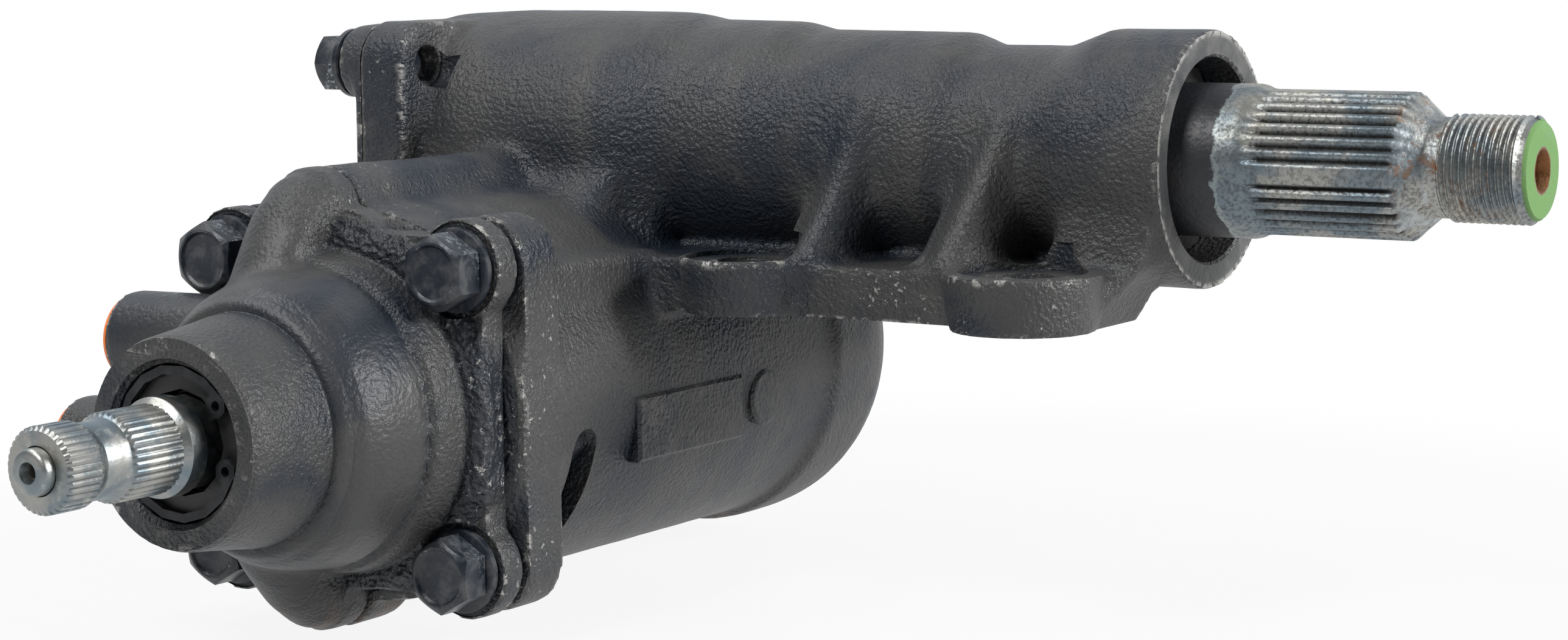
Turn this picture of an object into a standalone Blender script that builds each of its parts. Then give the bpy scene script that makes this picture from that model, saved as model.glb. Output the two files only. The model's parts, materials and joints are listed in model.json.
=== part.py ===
"""Power steering gearbox of the recirculating-ball kind.

A worm turns inside a ball nut that is also the hydraulic piston. The piston's rack swings a
toothed sector, whose shaft leaves the long housing as a splined and threaded output. The
axes frame has the sector shaft along X through its origin and the worm along Y below it.
Everything hangs from one empty, which puts the object's origin on the machined mounting face.
"""

import bmesh
import bpy
import math
from mathutils import Matrix, Vector

MM = 0.001
GAP = 0.3 * MM  # between pieces that touch or run in one another

# Mounting face, measured from the sector's axis
FACE_DROP = 33.0 * MM
FACE_POINT_X = 88.0 * MM

# Gearing
SECTOR_PITCH_R = 24.0 * MM
FULL_CIRCLE_TEETH = 9
PRESSURE_ANGLE = math.radians(28)
SECTOR_ADDENDUM = 0.80
RACK_ADDENDUM = 0.75
DEDENDUM = 1.03
FLANK_PLAY = 0.12 * MM
SECTOR_HALF_WIDTH = 18.0 * MM
WORM_LEAD = 9.5 * MM
BALL_R = 3.0 * MM
GROOVE_R = 3.5 * MM
BALL_CIRCLE_R = 14.0 * MM
LOCK_ANGLE = math.radians(36)

# Worm barrel, measured from the sector axis along Y
BARREL_WALL = 6.0 * MM
PISTON_R = 36.0 * MM
PISTON_DEPTH = 15.0 * MM  # from the sector's axis down to the top of the piston
AXIS_DROP = PISTON_R + PISTON_DEPTH
BARREL_BORE_R = PISTON_R + GAP
BARREL_R = BARREL_BORE_R + BARREL_WALL
PISTON_BACK_Y = 34.0 * MM
PISTON_FRONT_Y = -68.0 * MM
PISTON_END_WALL = 7.0 * MM
BARREL_END_WALL = 8.0 * MM
BARREL_BAND = 1.7 * MM
BARREL_BAND_Y = 28.0 * MM
FLANGE_JOINT_Y = -91.2 * MM
GEAR_FLANGE_T = 12.3 * MM
VALVE_FLANGE_T = 8.5 * MM
SPIGOT_DEPTH = 5.0 * MM

# Bolted flange between the barrel and the valve housing
VALVE_BOLT_WALL = 7.6 * MM  # from the barrel's bore out to the bolts' centres
VALVE_BOLT_TURN = math.radians(45.28)
VALVE_BOLT_X = (BARREL_BORE_R + VALVE_BOLT_WALL) * math.cos(VALVE_BOLT_TURN)
VALVE_BOLT_Z = (BARREL_BORE_R + VALVE_BOLT_WALL) * math.sin(VALVE_BOLT_TURN)
VALVE_LOBE_R = 10.5 * MM
FLANGE_EDGE = 7.1 * MM  # straight edges, beyond the bolts' centres
PASSAGE_X = -9.3 * MM
PASSAGE_R = 9.8 * MM
PASSAGE_LIFT = (2.8 * MM, 0.6 * MM)  # centres of the upper and lower passages, beyond the edges

# Valve housing
NOSE_Y = -152.4 * MM
NOSE_R = 21.6 * MM
NOSE_FOOT_Y = -132.5 * MM
DOME_FOOT_Y = -112.0 * MM
DOME_R = 31.5 * MM
COLLAR_RING_R = 33.2 * MM
SEAL_BORE_R = 16.1 * MM
SEAL_BORE_DEPTH = 8.0 * MM
INPUT_BEARING_R = 14.0 * MM
INPUT_BEARING_L = 8.4 * MM
SLEEVE_R = 18.4 * MM
SADDLE = (  # from the flange's front, fall of the ridge, how much thinner it has grown
    (0.0, 0.0, 0.4 * MM),
    (5.5 * MM, 1.1 * MM, 0.8 * MM),
    (12.0 * MM, 5.5 * MM, 1.5 * MM),
    (18.5 * MM, 14.3 * MM, 2.5 * MM),
    (25.0 * MM, 24.5 * MM, 3.8 * MM),
)
PORT_X = -44.8 * MM
PORT_R = 10.1 * MM
PORT_BORE_R = 6.6 * MM
PORTS = ((-114.5 * MM, 14.4 * MM), (-130.2 * MM, -6.1 * MM))  # Y, height over the worm axis

# Input side
INPUT_TIP_Y = -188.6 * MM
INPUT_TIP_R = 8.0 * MM
INPUT_FRONT_BAND_R = 8.6 * MM
INPUT_REAR_BAND_R = 9.0 * MM
INPUT_WAIST_R = 7.7 * MM
INPUT_COLLAR_R = 10.1 * MM
INPUT_COLLAR_Y = -157.1 * MM
INPUT_JOURNAL_R = 9.6 * MM
SPOOL_R = 12.0 * MM
SERRATIONS = 36
SERRATION_DEPTH = 0.6 * MM
TORSION_HEAD_R = 4.6 * MM
TORSION_WAIST_R = 2.8 * MM
TORSION_TIP_Y = -191.2 * MM

# Worm
WORM_R = 12.6 * MM
WORM_SHOULDER_R = 18.5 * MM
WORM_END_Y = 10.0 * MM
WORM_JOURNAL_R = 15.0 * MM
WORM_BEARING_R = 25.7 * MM
WORM_BEARING_L = 11.5 * MM

# Sector housing, along X
COVER_FACE_STAND = 0.9 * MM  # from the barrel's side out to the cover's face
COVER_FACE_X = -BARREL_R - COVER_FACE_STAND
COVER_FLANGE_T = 11.4 * MM
COVER_BOLT_Y = 30.0 * MM
COVER_BOLT_TOP_Z = 18.4 * MM
COVER_BOLT_LOW_Z = -24.5 * MM
COVER_LOBE_R = 9.8 * MM
CHAMBER_HALF_W = 34.0 * MM
CHAMBER_TOP_R = 30.6 * MM
CHAMBER_END_X = 17.5 * MM
CHAMBER_BLEND_X = 30.0 * MM
TUBE_END_X = 153.0 * MM
SEAL_SEAT_L = 25.0 * MM
SEAL_SEAT_X = TUBE_END_X - SEAL_SEAT_L
TUBE_STEPS = (  # X, wall outside the seal's seat: each section steps down towards the output
    (27.0 * MM, 8.1 * MM),
    (30.5 * MM, 6.9 * MM),
    (53.0 * MM, 6.6 * MM),
    (60.0 * MM, 4.9 * MM),
    (95.5 * MM, 4.6 * MM),
    (103.0 * MM, 2.1 * MM),
    (121.5 * MM, 2.1 * MM),
    (131.0 * MM, 5.3 * MM),
    (135.0 * MM, 5.8 * MM),
    (TUBE_END_X, 5.8 * MM),
)

# Mounting ledge
LEDGE_T = 11.0 * MM
LEDGE_FRONT_Y = -41.0 * MM
LEDGE_BACK_Y = 30.0 * MM
LEDGE_END_X = 141.5 * MM
END_WEB_X = 151.0 * MM
MOUNT_HOLE_R = 6.4 * MM
SPOTFACE_R = 13.3 * MM
BOSS_TOP_R = 17.0 * MM
BOSS_FOOT_R = 15.0 * MM
BOSS_RISE = 0.5 * MM
MOUNT_HOLES = ((128.8 * MM, -38.9 * MM), (60.5 * MM, -37.0 * MM), (83.0 * MM, 38.0 * MM))
RIB_X = (76.5 * MM, 110.5 * MM)
RIB_T = 5.0 * MM
RIB_LEAN = 0.2  # towards the output, for each unit of height
RIB_INSET = 3.0 * MM

# Sector shaft
TRUNNION_R = 11.5 * MM
SECTOR_HUB_R = 17.5 * MM
JOURNAL_R = 17.0 * MM
NEEDLE_SPACE = 2.6 * MM
SEAL_SPACE = 4.5 * MM
TUBE_BORE_R = JOURNAL_R + NEEDLE_SPACE
SEAL_SEAT_R = JOURNAL_R + SEAL_SPACE
LAND_STEP = 0.9 * MM
LAND_R = JOURNAL_R - LAND_STEP
LAND_X = SEAL_SEAT_X + 10.0 * MM
SPLINE_STEP = 1.0 * MM
SPLINE_DEPTH = 1.1 * MM
SPLINE_R = LAND_R - SPLINE_STEP
SPLINE_ROOT_R = SPLINE_R - SPLINE_DEPTH
SPLINE_X = TUBE_END_X + 12.3 * MM
SPLINE_L = 32.4 * MM
SPLINE_END_X = SPLINE_X + SPLINE_L
SPLINE_PLACES = 32
MASTER_EVERY = 8
THREAD_R = 11.0 * MM
THREAD_L = 18.9 * MM
NECK_R = THREAD_R - 0.8 * MM
NECK_X = SPLINE_END_X + 5.1 * MM
THREAD_X = NECK_X + 2.5 * MM
SHAFT_END_X = THREAD_X + THREAD_L

# Side cover
COVER_PLATE_T = 2.6 * MM
COVER_LUG_H = 7.6 * MM
COVER_BOSS_R = 18.5 * MM
COVER_BOSS_H = 13.8 * MM
COVER_BOSS_X = COVER_FACE_X - COVER_BOSS_H
COVER_BEARING_R = 15.0 * MM
GASKET_T = 0.6 * MM
ADJUSTER_R = 4.0 * MM
ADJUSTER_REACH = 9.5 * MM
ADJUSTER_END_X = COVER_BOSS_X - ADJUSTER_REACH

# Bolts, by their thread sizes
M10_R, M10_HEX, M10_HEAD = 5.0 * MM, 14.0 * MM, 7.0 * MM
M8_R, M8_HEX, M8_HEAD = 4.0 * MM, 12.0 * MM, 6.4 * MM
WASHER_T = 1.9 * MM

WORM_Z = -AXIS_DROP
BARREL_FLOOR_Y = PISTON_BACK_Y + SECTOR_PITCH_R * LOCK_ANGLE + 1.4 * MM
BARREL_END_Y = BARREL_FLOOR_Y + BARREL_END_WALL
FLANGE_HALF_H = VALVE_BOLT_Z + FLANGE_EDGE
PASSAGE_RISE = FLANGE_HALF_H + PASSAGE_LIFT[0]
PASSAGE_FALL = FLANGE_HALF_H + PASSAGE_LIFT[1]
GEAR_FLANGE_BACK_Y = FLANGE_JOINT_Y + GEAR_FLANGE_T
VALVE_FLANGE_FRONT_Y = FLANGE_JOINT_Y - VALVE_FLANGE_T
MODULE = 2 * SECTOR_PITCH_R / FULL_CIRCLE_TEETH
SECTOR_TIP_R = SECTOR_PITCH_R + SECTOR_ADDENDUM * MODULE
SECTOR_ROOT_R = SECTOR_PITCH_R - DEDENDUM * MODULE
RACK_PITCH_Z = WORM_Z + AXIS_DROP - SECTOR_PITCH_R
RACK_TIP_Z = RACK_PITCH_Z + RACK_ADDENDUM * MODULE
RACK_ROOT_Z = RACK_PITCH_Z - DEDENDUM * MODULE
COVER_BACK_X = COVER_FACE_X - GAP - GASKET_T - GAP
NUT_BORE_R = BALL_CIRCLE_R + 1.4 * MM
CIRCUIT_Y = -48.0 * MM
CIRCUIT_TURNS = 1.5
CIRCUIT_START = 0.5  # in turns from the worm's +X side, so the balls leave both ends downwards
SLEEVE_BORE_END_Y = NOSE_Y + SEAL_BORE_DEPTH + INPUT_BEARING_L
POCKET_Y = FLANGE_JOINT_Y - WORM_BEARING_L - 1.3 * MM

# Each matrix turns a shape made along Z to lie along that axis
ALONG = {
    "X": Matrix.Rotation(math.radians(90), 4, "Y"),
    "Y": Matrix.Rotation(math.radians(-90), 4, "X"),
    "Z": Matrix.Identity(4),
}
# Each matrix lays a flat outline in the plane across that axis: (Y, Z), (X, Z) or (X, Y)
ACROSS = {
    "X": Matrix(((0, 0, 1, 0), (1, 0, 0, 0), (0, 1, 0, 0), (0, 0, 0, 1))),
    "Y": Matrix(((1, 0, 0, 0), (0, 0, -1, 0), (0, 1, 0, 0), (0, 0, 0, 1))),
    "Z": Matrix.Identity(4),
}
ROUND = {"coarse": 8, "fine": 12, "shaft": 16, "big": 24}


def clear_scene():
    for thing in list(bpy.data.objects):
        bpy.data.objects.remove(thing, do_unlink=True)


def collection(name):
    made = bpy.data.collections.new(name)
    bpy.context.scene.collection.children.link(made)
    return made


def material(name, colour, roughness, metallic):
    made = bpy.data.materials.new(name)
    made.use_nodes = True
    shader = made.node_tree.nodes["Principled BSDF"]
    shader.inputs["Base Color"].default_value = (*colour, 1)
    shader.inputs["Roughness"].default_value = roughness
    shader.inputs["Metallic"].default_value = metallic
    return made


def empty(name, parent, location):
    """An axis that moving pieces hang from."""
    made = bpy.data.objects.new(name, None)
    made.empty_display_size = 0.02
    made.parent = parent
    made.location = location
    PIECES.objects.link(made)
    return made


def helper(obj):
    """An object that only shapes others, until `part` makes a piece of it."""
    HELPERS.objects.link(obj)
    obj.parent = FRAME
    obj.hide_render = True
    obj.display_type = "WIRE"
    return obj


def part(name, shape, finish, axis=None):
    """Makes a finished shape a named piece of the gearbox, hung with its cutters from its axis."""
    shape.name = name
    shape.data.name = name
    shape.data.materials.append(finish)
    shape.hide_render = False
    shape.display_type = "TEXTURED"
    HELPERS.objects.unlink(shape)
    PIECES.objects.link(shape)
    if axis:
        hang(shape, axis)
    if any(modifier.type == "BOOLEAN" for modifier in shape.modifiers):
        flats = shape.modifiers.new("flats", "DECIMATE")
        flats.decimate_type = "DISSOLVE"
        flats.angle_limit = math.radians(0.3)
    creases = shape.modifiers.new("creases", "NODES")
    creases.node_group = CREASES
    return shape


def hang(shape, axis):
    """Moves a shape and its cutters from the frame to an axis, without moving them in space."""
    shape.parent = axis
    shape.matrix_basis = Matrix.Translation(-place_in_frame(axis)) @ shape.matrix_basis
    for modifier in shape.modifiers:
        if modifier.type == "BOOLEAN":
            for other in modifier.collection.objects:
                hang(other, axis)


def place_in_frame(axis):
    place = Vector()
    while axis is not FRAME:
        place += axis.location
        axis = axis.parent
    return place


def crease_nodes():
    """Smooth shading that breaks at sharp edges, for shapes whose edges come from Booleans."""
    group = bpy.data.node_groups.new("creases", "GeometryNodeTree")
    group.interface.new_socket("Geometry", in_out="INPUT", socket_type="NodeSocketGeometry")
    group.interface.new_socket("Geometry", in_out="OUTPUT", socket_type="NodeSocketGeometry")
    start, end = group.nodes.new("NodeGroupInput"), group.nodes.new("NodeGroupOutput")
    faces = group.nodes.new("GeometryNodeSetShadeSmooth")
    edges = group.nodes.new("GeometryNodeSetShadeSmooth")
    edges.domain = "EDGE"
    edges.inputs["Shade Smooth"].default_value = False
    angle = group.nodes.new("GeometryNodeInputMeshEdgeAngle")
    sharp = group.nodes.new("FunctionNodeCompare")
    sharp.inputs[1].default_value = math.radians(28)
    group.links.new(angle.outputs["Unsigned Angle"], sharp.inputs[0])
    group.links.new(start.outputs[0], faces.inputs["Geometry"])
    group.links.new(faces.outputs["Geometry"], edges.inputs["Geometry"])
    group.links.new(sharp.outputs[0], edges.inputs["Selection"])
    group.links.new(edges.outputs["Geometry"], end.inputs[0])
    return group


def mesh_object(name, bm, matrix=None):
    mesh = bpy.data.meshes.new(name)
    bmesh.ops.recalc_face_normals(bm, faces=bm.faces)
    bm.to_mesh(mesh)
    bm.free()
    obj = bpy.data.objects.new(name, mesh)
    helper(obj)
    if matrix is not None:
        obj.matrix_basis = matrix
    return obj


def turned(name, axis, profile, steps="fine", centre=(0, 0, 0), hollow=False):
    """A Screw of a profile of (along, radius) points, in the order of growing `along`.

    A hollow profile is a closed ring that doesn't reach the axis: its outer side first, then
    back along its bore.
    """
    points = [Vector((radius, 0, along)) for along, radius in profile]
    if not hollow:
        if profile[0][1] > 0:
            points.insert(0, Vector((0, 0, profile[0][0])))
        if profile[-1][1] > 0:
            points.append(Vector((0, 0, profile[-1][0])))
    points.reverse()
    mesh = bpy.data.meshes.new(name)
    edges = [(i, i + 1) for i in range(len(points) - 1)]
    if hollow:
        edges.append((len(points) - 1, 0))
    mesh.from_pydata(points, edges, [])
    obj = helper(bpy.data.objects.new(name, mesh))
    obj.matrix_basis = Matrix.Translation(centre) @ ALONG[axis]
    screw = obj.modifiers.new("turn", "SCREW")
    screw.steps = screw.render_steps = int(ROUND[steps])
    screw.use_merge_vertices = True
    screw.merge_threshold = 1e-6
    obj["steps"] = ROUND[steps]
    return obj


def rod(name, axis, start, end, radius, centre=(0, 0, 0), end_radius=None, steps=12):
    """A cylinder or cone between two places along an axis."""
    bm = bmesh.new()
    bmesh.ops.create_cone(
        bm,
        cap_ends=True,
        segments=steps,
        radius1=radius,
        radius2=radius if end_radius is None else end_radius,
        depth=end - start,
    )
    half_step = Matrix.Rotation(math.pi / steps, 3, "Z")
    bmesh.ops.rotate(bm, verts=bm.verts, matrix=half_step)
    bmesh.ops.translate(bm, verts=bm.verts, vec=(0, 0, (start + end) / 2))
    made = mesh_object(name, bm, Matrix.Translation(centre) @ ALONG[axis])
    made["steps"] = steps
    return made


def block(name, low, high):
    bm = bmesh.new()
    bmesh.ops.create_cube(bm, size=1)
    low, high = Vector(low), Vector(high)
    bmesh.ops.scale(bm, verts=bm.verts, vec=high - low)
    bmesh.ops.translate(bm, verts=bm.verts, vec=(low + high) / 2)
    return mesh_object(name, bm)


def prism(name, axis, outline, start, end):
    """A flat outline given thickness along an axis: a filled 2D curve, made a closed mesh."""
    curve = bpy.data.curves.new(name, "CURVE")
    curve.dimensions = "2D"
    curve.fill_mode = "BOTH"
    curve.extrude = (end - start) / 2
    spline = curve.splines.new("POLY")
    spline.points.add(len(outline) - 1)
    for point, (u, v) in zip(spline.points, outline):
        point.co = (u, v, 0, 1)
    spline.use_cyclic_u = True
    drawn = bpy.data.objects.new(name, curve)
    bpy.context.scene.collection.objects.link(drawn)
    bm = bmesh.new()
    bm.from_mesh(solid_mesh(drawn))
    bmesh.ops.remove_doubles(bm, verts=bm.verts, dist=1e-6)
    bpy.data.objects.remove(drawn)
    middle = Vector({"X": (1, 0, 0), "Y": (0, 1, 0), "Z": (0, 0, 1)}[axis]) * (start + end) / 2
    return mesh_object(name, bm, Matrix.Translation(middle) @ ACROSS[axis])


def solid_mesh(obj):
    bpy.context.view_layer.update()
    graph = bpy.context.evaluated_depsgraph_get()
    return bpy.data.meshes.new_from_object(obj.evaluated_get(graph))


def loft(name, sections):
    """A closed body through sections that all have as many points."""
    bm = bmesh.new()
    rings = [[bm.verts.new(point) for point in section] for section in sections]
    for one, other in zip(rings, rings[1:]):
        for i in range(len(one)):
            j = (i + 1) % len(one)
            bm.faces.new((one[i], one[j], other[j], other[i]))
    bm.faces.new(rings[0])
    bm.faces.new(reversed(rings[-1]))
    return mesh_object(name, bm)


def hull(name, points):
    """The convex body round some points, for webs and saddles between two round bosses."""
    bm = bmesh.new()
    for point in points:
        bm.verts.new(point)
    result = bmesh.ops.convex_hull(bm, input=bm.verts)
    loose = {e for e in result["geom_interior"] + result["geom_unused"]}
    verts = [e for e in loose if isinstance(e, bmesh.types.BMVert)]
    bmesh.ops.delete(bm, geom=verts, context="VERTS")
    bmesh.ops.dissolve_limit(bm, angle_limit=1e-4, verts=bm.verts, edges=bm.edges)
    return mesh_object(name, bm)


def tube(name, points, radius, resolution=2, sizes=None):
    """A round bar along a list of points, made a closed mesh. Sizes swell it from point to point."""
    curve = bpy.data.curves.new(name, "CURVE")
    curve.dimensions = "3D"
    curve.bevel_depth = radius
    curve.bevel_resolution = resolution
    curve.use_fill_caps = True
    spline = curve.splines.new("POLY")
    spline.points.add(len(points) - 1)
    for point, place_at, size in zip(spline.points, points, sizes or [1] * len(points)):
        point.co = (*place_at, 1)
        point.radius = size
    drawn = bpy.data.objects.new(name, curve)
    bpy.context.scene.collection.objects.link(drawn)
    bm = bmesh.new()
    bm.from_mesh(solid_mesh(drawn))
    bmesh.ops.remove_doubles(bm, verts=bm.verts, dist=1e-6)
    bpy.data.objects.remove(drawn)
    return mesh_object(name, bm)


def combine(base, operation, others):
    """One exact Boolean of a shape with a group of others."""
    group = bpy.data.collections.new(base.name + "_" + operation.lower())
    HELPERS.children.link(group)
    for other in others:
        HELPERS.objects.unlink(other)
        group.objects.link(other)
    modifier = base.modifiers.new(operation.lower(), "BOOLEAN")
    modifier.operation = operation
    modifier.operand_type = "COLLECTION"
    modifier.collection = group
    modifier.solver = "EXACT"
    modifier.show_viewport = modifier.show_render = False
    return base


def switch_booleans_on():
    """The Booleans wait until every shape is drawn, so that each is worked out once."""
    for obj in bpy.data.objects:
        for modifier in obj.modifiers:
            modifier.show_viewport = modifier.show_render = True


def join(base, others):
    return combine(base, "UNION", others)


def outside(radius, steps):
    """The corner radius of a polygon whose flats touch a circle from outside."""
    return radius / math.cos(math.pi / steps)


def cut(base, cutters):
    """Cuts bores whose flats, not corners, lie at their radius, so that round pieces clear them.

    Round cutters are also turned a little, so that their corners miss those of what they cut.
    """
    for cutter in cutters:
        steps = cutter.get("steps")
        if steps:
            swell = outside(1, steps)
            cutter.data.transform(Matrix.Diagonal((swell, swell, 1, 1)))
            cutter.matrix_basis = cutter.matrix_basis @ Matrix.Rotation(math.radians(4), 4, "Z")
    return combine(base, "DIFFERENCE", cutters)


def arc(centre, radius, start, end, count):
    """Points along an arc, its angles in degrees."""
    steps = [math.radians(start + (end - start) * i / (count - 1)) for i in range(count)]
    return [(centre[0] + radius * math.cos(a), centre[1] + radius * math.sin(a)) for a in steps]


def circle_points(axis, along, centre, radius, count=8):
    """Points of a circle across an axis, in the axes frame."""
    found = []
    for u, v in arc(centre, radius, 0, 360 - 360 / count, count):
        found.append({"X": (along, u, v), "Y": (u, along, v), "Z": (u, v, along)}[axis])
    return found


def hexagon(across_flats):
    return arc((0, 0), across_flats / math.sqrt(3), 30, 330, 6)


def cover_bolt_places():
    return [(y, z) for y in (-COVER_BOLT_Y, COVER_BOLT_Y) for z in (COVER_BOLT_TOP_Z, COVER_BOLT_LOW_Z)]


def valve_bolt_places():
    return [(x, WORM_Z + z) for x in (-VALVE_BOLT_X, VALVE_BOLT_X) for z in (VALVE_BOLT_Z, -VALVE_BOLT_Z)]


def cover_outline(lobe_r):
    """The side cover's four-lobed outline, in Y and Z."""
    corners = [
        ((COVER_BOLT_Y, COVER_BOLT_TOP_Z), 0),
        ((-COVER_BOLT_Y, COVER_BOLT_TOP_Z), 90),
        ((-COVER_BOLT_Y, COVER_BOLT_LOW_Z), 180),
        ((COVER_BOLT_Y, COVER_BOLT_LOW_Z), 270),
    ]
    outline = []
    for centre, start in corners:
        outline += arc(centre, lobe_r, start, start + 90, 5)
    return outline


def fan_outline(round_r, fan_r):
    """A round opening that widens below the axis to let the sector's teeth through."""
    return arc((0, 0), round_r, 14, 166, 9) + arc((0, 0), fan_r, 176, 364, 13)


def sector_outline():
    """Three involute teeth below a round hub, in Y and Z, with the middle tooth pointing down."""
    base_r = SECTOR_PITCH_R * math.cos(PRESSURE_ANGLE)

    def involute(angle):
        return math.tan(angle) - angle

    play = FLANK_PLAY / SECTOR_PITCH_R

    def half_angle(radius):
        pressure = math.acos(min(1, base_r / radius))
        return math.pi / (2 * FULL_CIRCLE_TEETH) + involute(PRESSURE_ANGLE) - involute(pressure) - play

    flank = [SECTOR_ROOT_R] + [
        base_r + (SECTOR_TIP_R - base_r) * (i / 4) ** 1.3 for i in range(5)
    ]
    outline = []
    for tooth in (-1, 0, 1):
        middle = math.radians(-90) + tooth * 2 * math.pi / FULL_CIRCLE_TEETH
        for radius in flank:
            angle = middle - half_angle(max(radius, base_r))
            outline.append((radius * math.cos(angle), radius * math.sin(angle)))
        for radius in reversed(flank):
            angle = middle + half_angle(max(radius, base_r))
            outline.append((radius * math.cos(angle), radius * math.sin(angle)))
    return outline + arc((0, 0), SECTOR_HUB_R, -20, 200, 11)


def rack_outline():
    """The space over the rack's teeth, in Y and Z: its lower edge is the tooth profile."""
    pitch = math.pi * MODULE
    slope = math.tan(PRESSURE_ANGLE)
    points = []
    for gap in (-1, 0, 1):
        middle = gap * pitch
        half = pitch / 4 + FLANK_PLAY
        top = half + (RACK_TIP_Z - RACK_PITCH_Z) * slope
        low = half - (RACK_PITCH_Z - RACK_ROOT_Z) * slope
        points += [
            (middle - top, RACK_TIP_Z),
            (middle - low, RACK_ROOT_Z),
            (middle + low, RACK_ROOT_Z),
            (middle + top, RACK_TIP_Z),
        ]
    reach = points[-1][0] + pitch / 4
    ceiling = WORM_Z + PISTON_R + 5 * MM
    return [(-reach, ceiling), (-reach, RACK_TIP_Z)] + points + [(reach, RACK_TIP_Z), (reach, ceiling)]


def helix(radius, start_y, turns, start_turn=0.0, per_turn=9):
    """Points of the right-hand ball track round the worm, counted in turns from its +X side."""
    count = int(turns * per_turn) + 1
    points = []
    for i in range(count):
        turn = i / per_turn
        angle = 2 * math.pi * (start_turn + turn)
        y = start_y + WORM_LEAD * turn
        points.append(Vector((radius * math.cos(angle), y, WORM_Z - radius * math.sin(angle))))
    return points


def worm_track():
    """The worm's whole groove, in step with the nut's circuit at rest."""
    turns_before = 3.5
    turns_after = 5.0
    return helix(
        BALL_CIRCLE_R,
        CIRCUIT_Y - turns_before * WORM_LEAD,
        turns_before + turns_after,
        start_turn=CIRCUIT_START - turns_before,
    )


def star(outer, depth, count):
    """The outline of a fine serration, two points a tooth."""
    points = []
    for i in range(2 * count):
        angle = math.pi * (i + 0.37) / count
        radius = outer - (depth if i % 2 else 0)
        points.append((radius * math.cos(angle), radius * math.sin(angle)))
    return points


def flange_outline():
    """The flange that both castings share, in X and Z: lobes round its bolts and oil passages."""
    x, z = VALVE_BOLT_X, VALVE_BOLT_Z
    edge = math.degrees(math.asin(FLANGE_EDGE / VALVE_LOBE_R))
    upper, lower = (math.degrees(math.asin(lift / PASSAGE_R)) for lift in PASSAGE_LIFT)
    points = arc((x, z), VALVE_LOBE_R, 0, 180 - edge, 6)
    points += arc((PASSAGE_X, PASSAGE_RISE), PASSAGE_R, -upper, 180 + upper, 7)
    points += arc((-x, z), VALVE_LOBE_R, edge, 180, 6)
    points += arc((-x, -z), VALVE_LOBE_R, 180, 360 - edge, 6)
    points += arc((PASSAGE_X, -PASSAGE_FALL), PASSAGE_R, 180 - lower, 360 + lower, 7)
    points += arc((x, -z), VALVE_LOBE_R, 180 + edge, 360, 6)
    return [(u, WORM_Z + v) for u, v in points]


def gear_housing(finish):
    """The main casting: sector tube, worm barrel, flange and mounting ledge in one."""
    profile = [
        (COVER_FACE_X + 11 * MM, CHAMBER_TOP_R - 2.6 * MM),
        (COVER_FACE_X + 23 * MM, CHAMBER_TOP_R - 0.2 * MM),
        (15 * MM, CHAMBER_TOP_R - 0.3 * MM),
    ]
    profile += [(x, SEAL_SEAT_R + wall) for x, wall in TUBE_STEPS]
    body = turned("gear_casting", "X", profile, "big")
    face_end = COVER_FACE_X + COVER_FLANGE_T
    adds = [prism("cover_flange", "X", cover_outline(COVER_LOBE_R), COVER_FACE_X, face_end)]
    adds.append(sector_chamber())
    adds.append(barrel())
    adds.append(prism("gear_flange", "Y", flange_outline(), FLANGE_JOINT_Y + GAP / 2, GEAR_FLANGE_BACK_Y))
    adds += barrel_shoulder()
    adds += mounting_ledge()
    join(body, adds)
    cut(body, gear_bores() + gear_holes())
    return part("gear_housing", body, finish)


def sector_chamber():
    """A round-topped box over the barrel that narrows into the tube."""
    sections = []
    for x, half_w, top, floor in (
        (COVER_FACE_X + 2 * MM, CHAMBER_HALF_W, CHAMBER_TOP_R, WORM_Z),
        (CHAMBER_END_X, CHAMBER_HALF_W, CHAMBER_TOP_R, WORM_Z),
        (CHAMBER_BLEND_X, 28.6 * MM, 28.6 * MM, -FACE_DROP),
    ):
        dome = [(half_w * math.cos(a), top * math.sin(a)) for a in
                [math.radians(180 * i / 12) for i in range(13)]]
        outline = [(x, y, z) for y, z in dome] + [(x, -half_w, floor), (x, half_w, floor)]
        sections.append(outline)
    return loft("chamber", sections)


def barrel():
    band_r = BARREL_R + BARREL_BAND
    profile = (
        (FLANGE_JOINT_Y + 2 * MM, BARREL_R),
        (BARREL_BAND_Y, BARREL_R),
        (BARREL_BAND_Y + 3 * MM, band_r),
        (BARREL_END_Y - 10 * MM, band_r),
        (BARREL_END_Y - 4.5 * MM, band_r - 2 * MM),
        (BARREL_END_Y - 1.2 * MM, band_r - 6.5 * MM),
        (BARREL_END_Y, band_r - 12 * MM),
    )
    return turned("barrel", "Y", profile, "big", (0, 0, WORM_Z))


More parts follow.
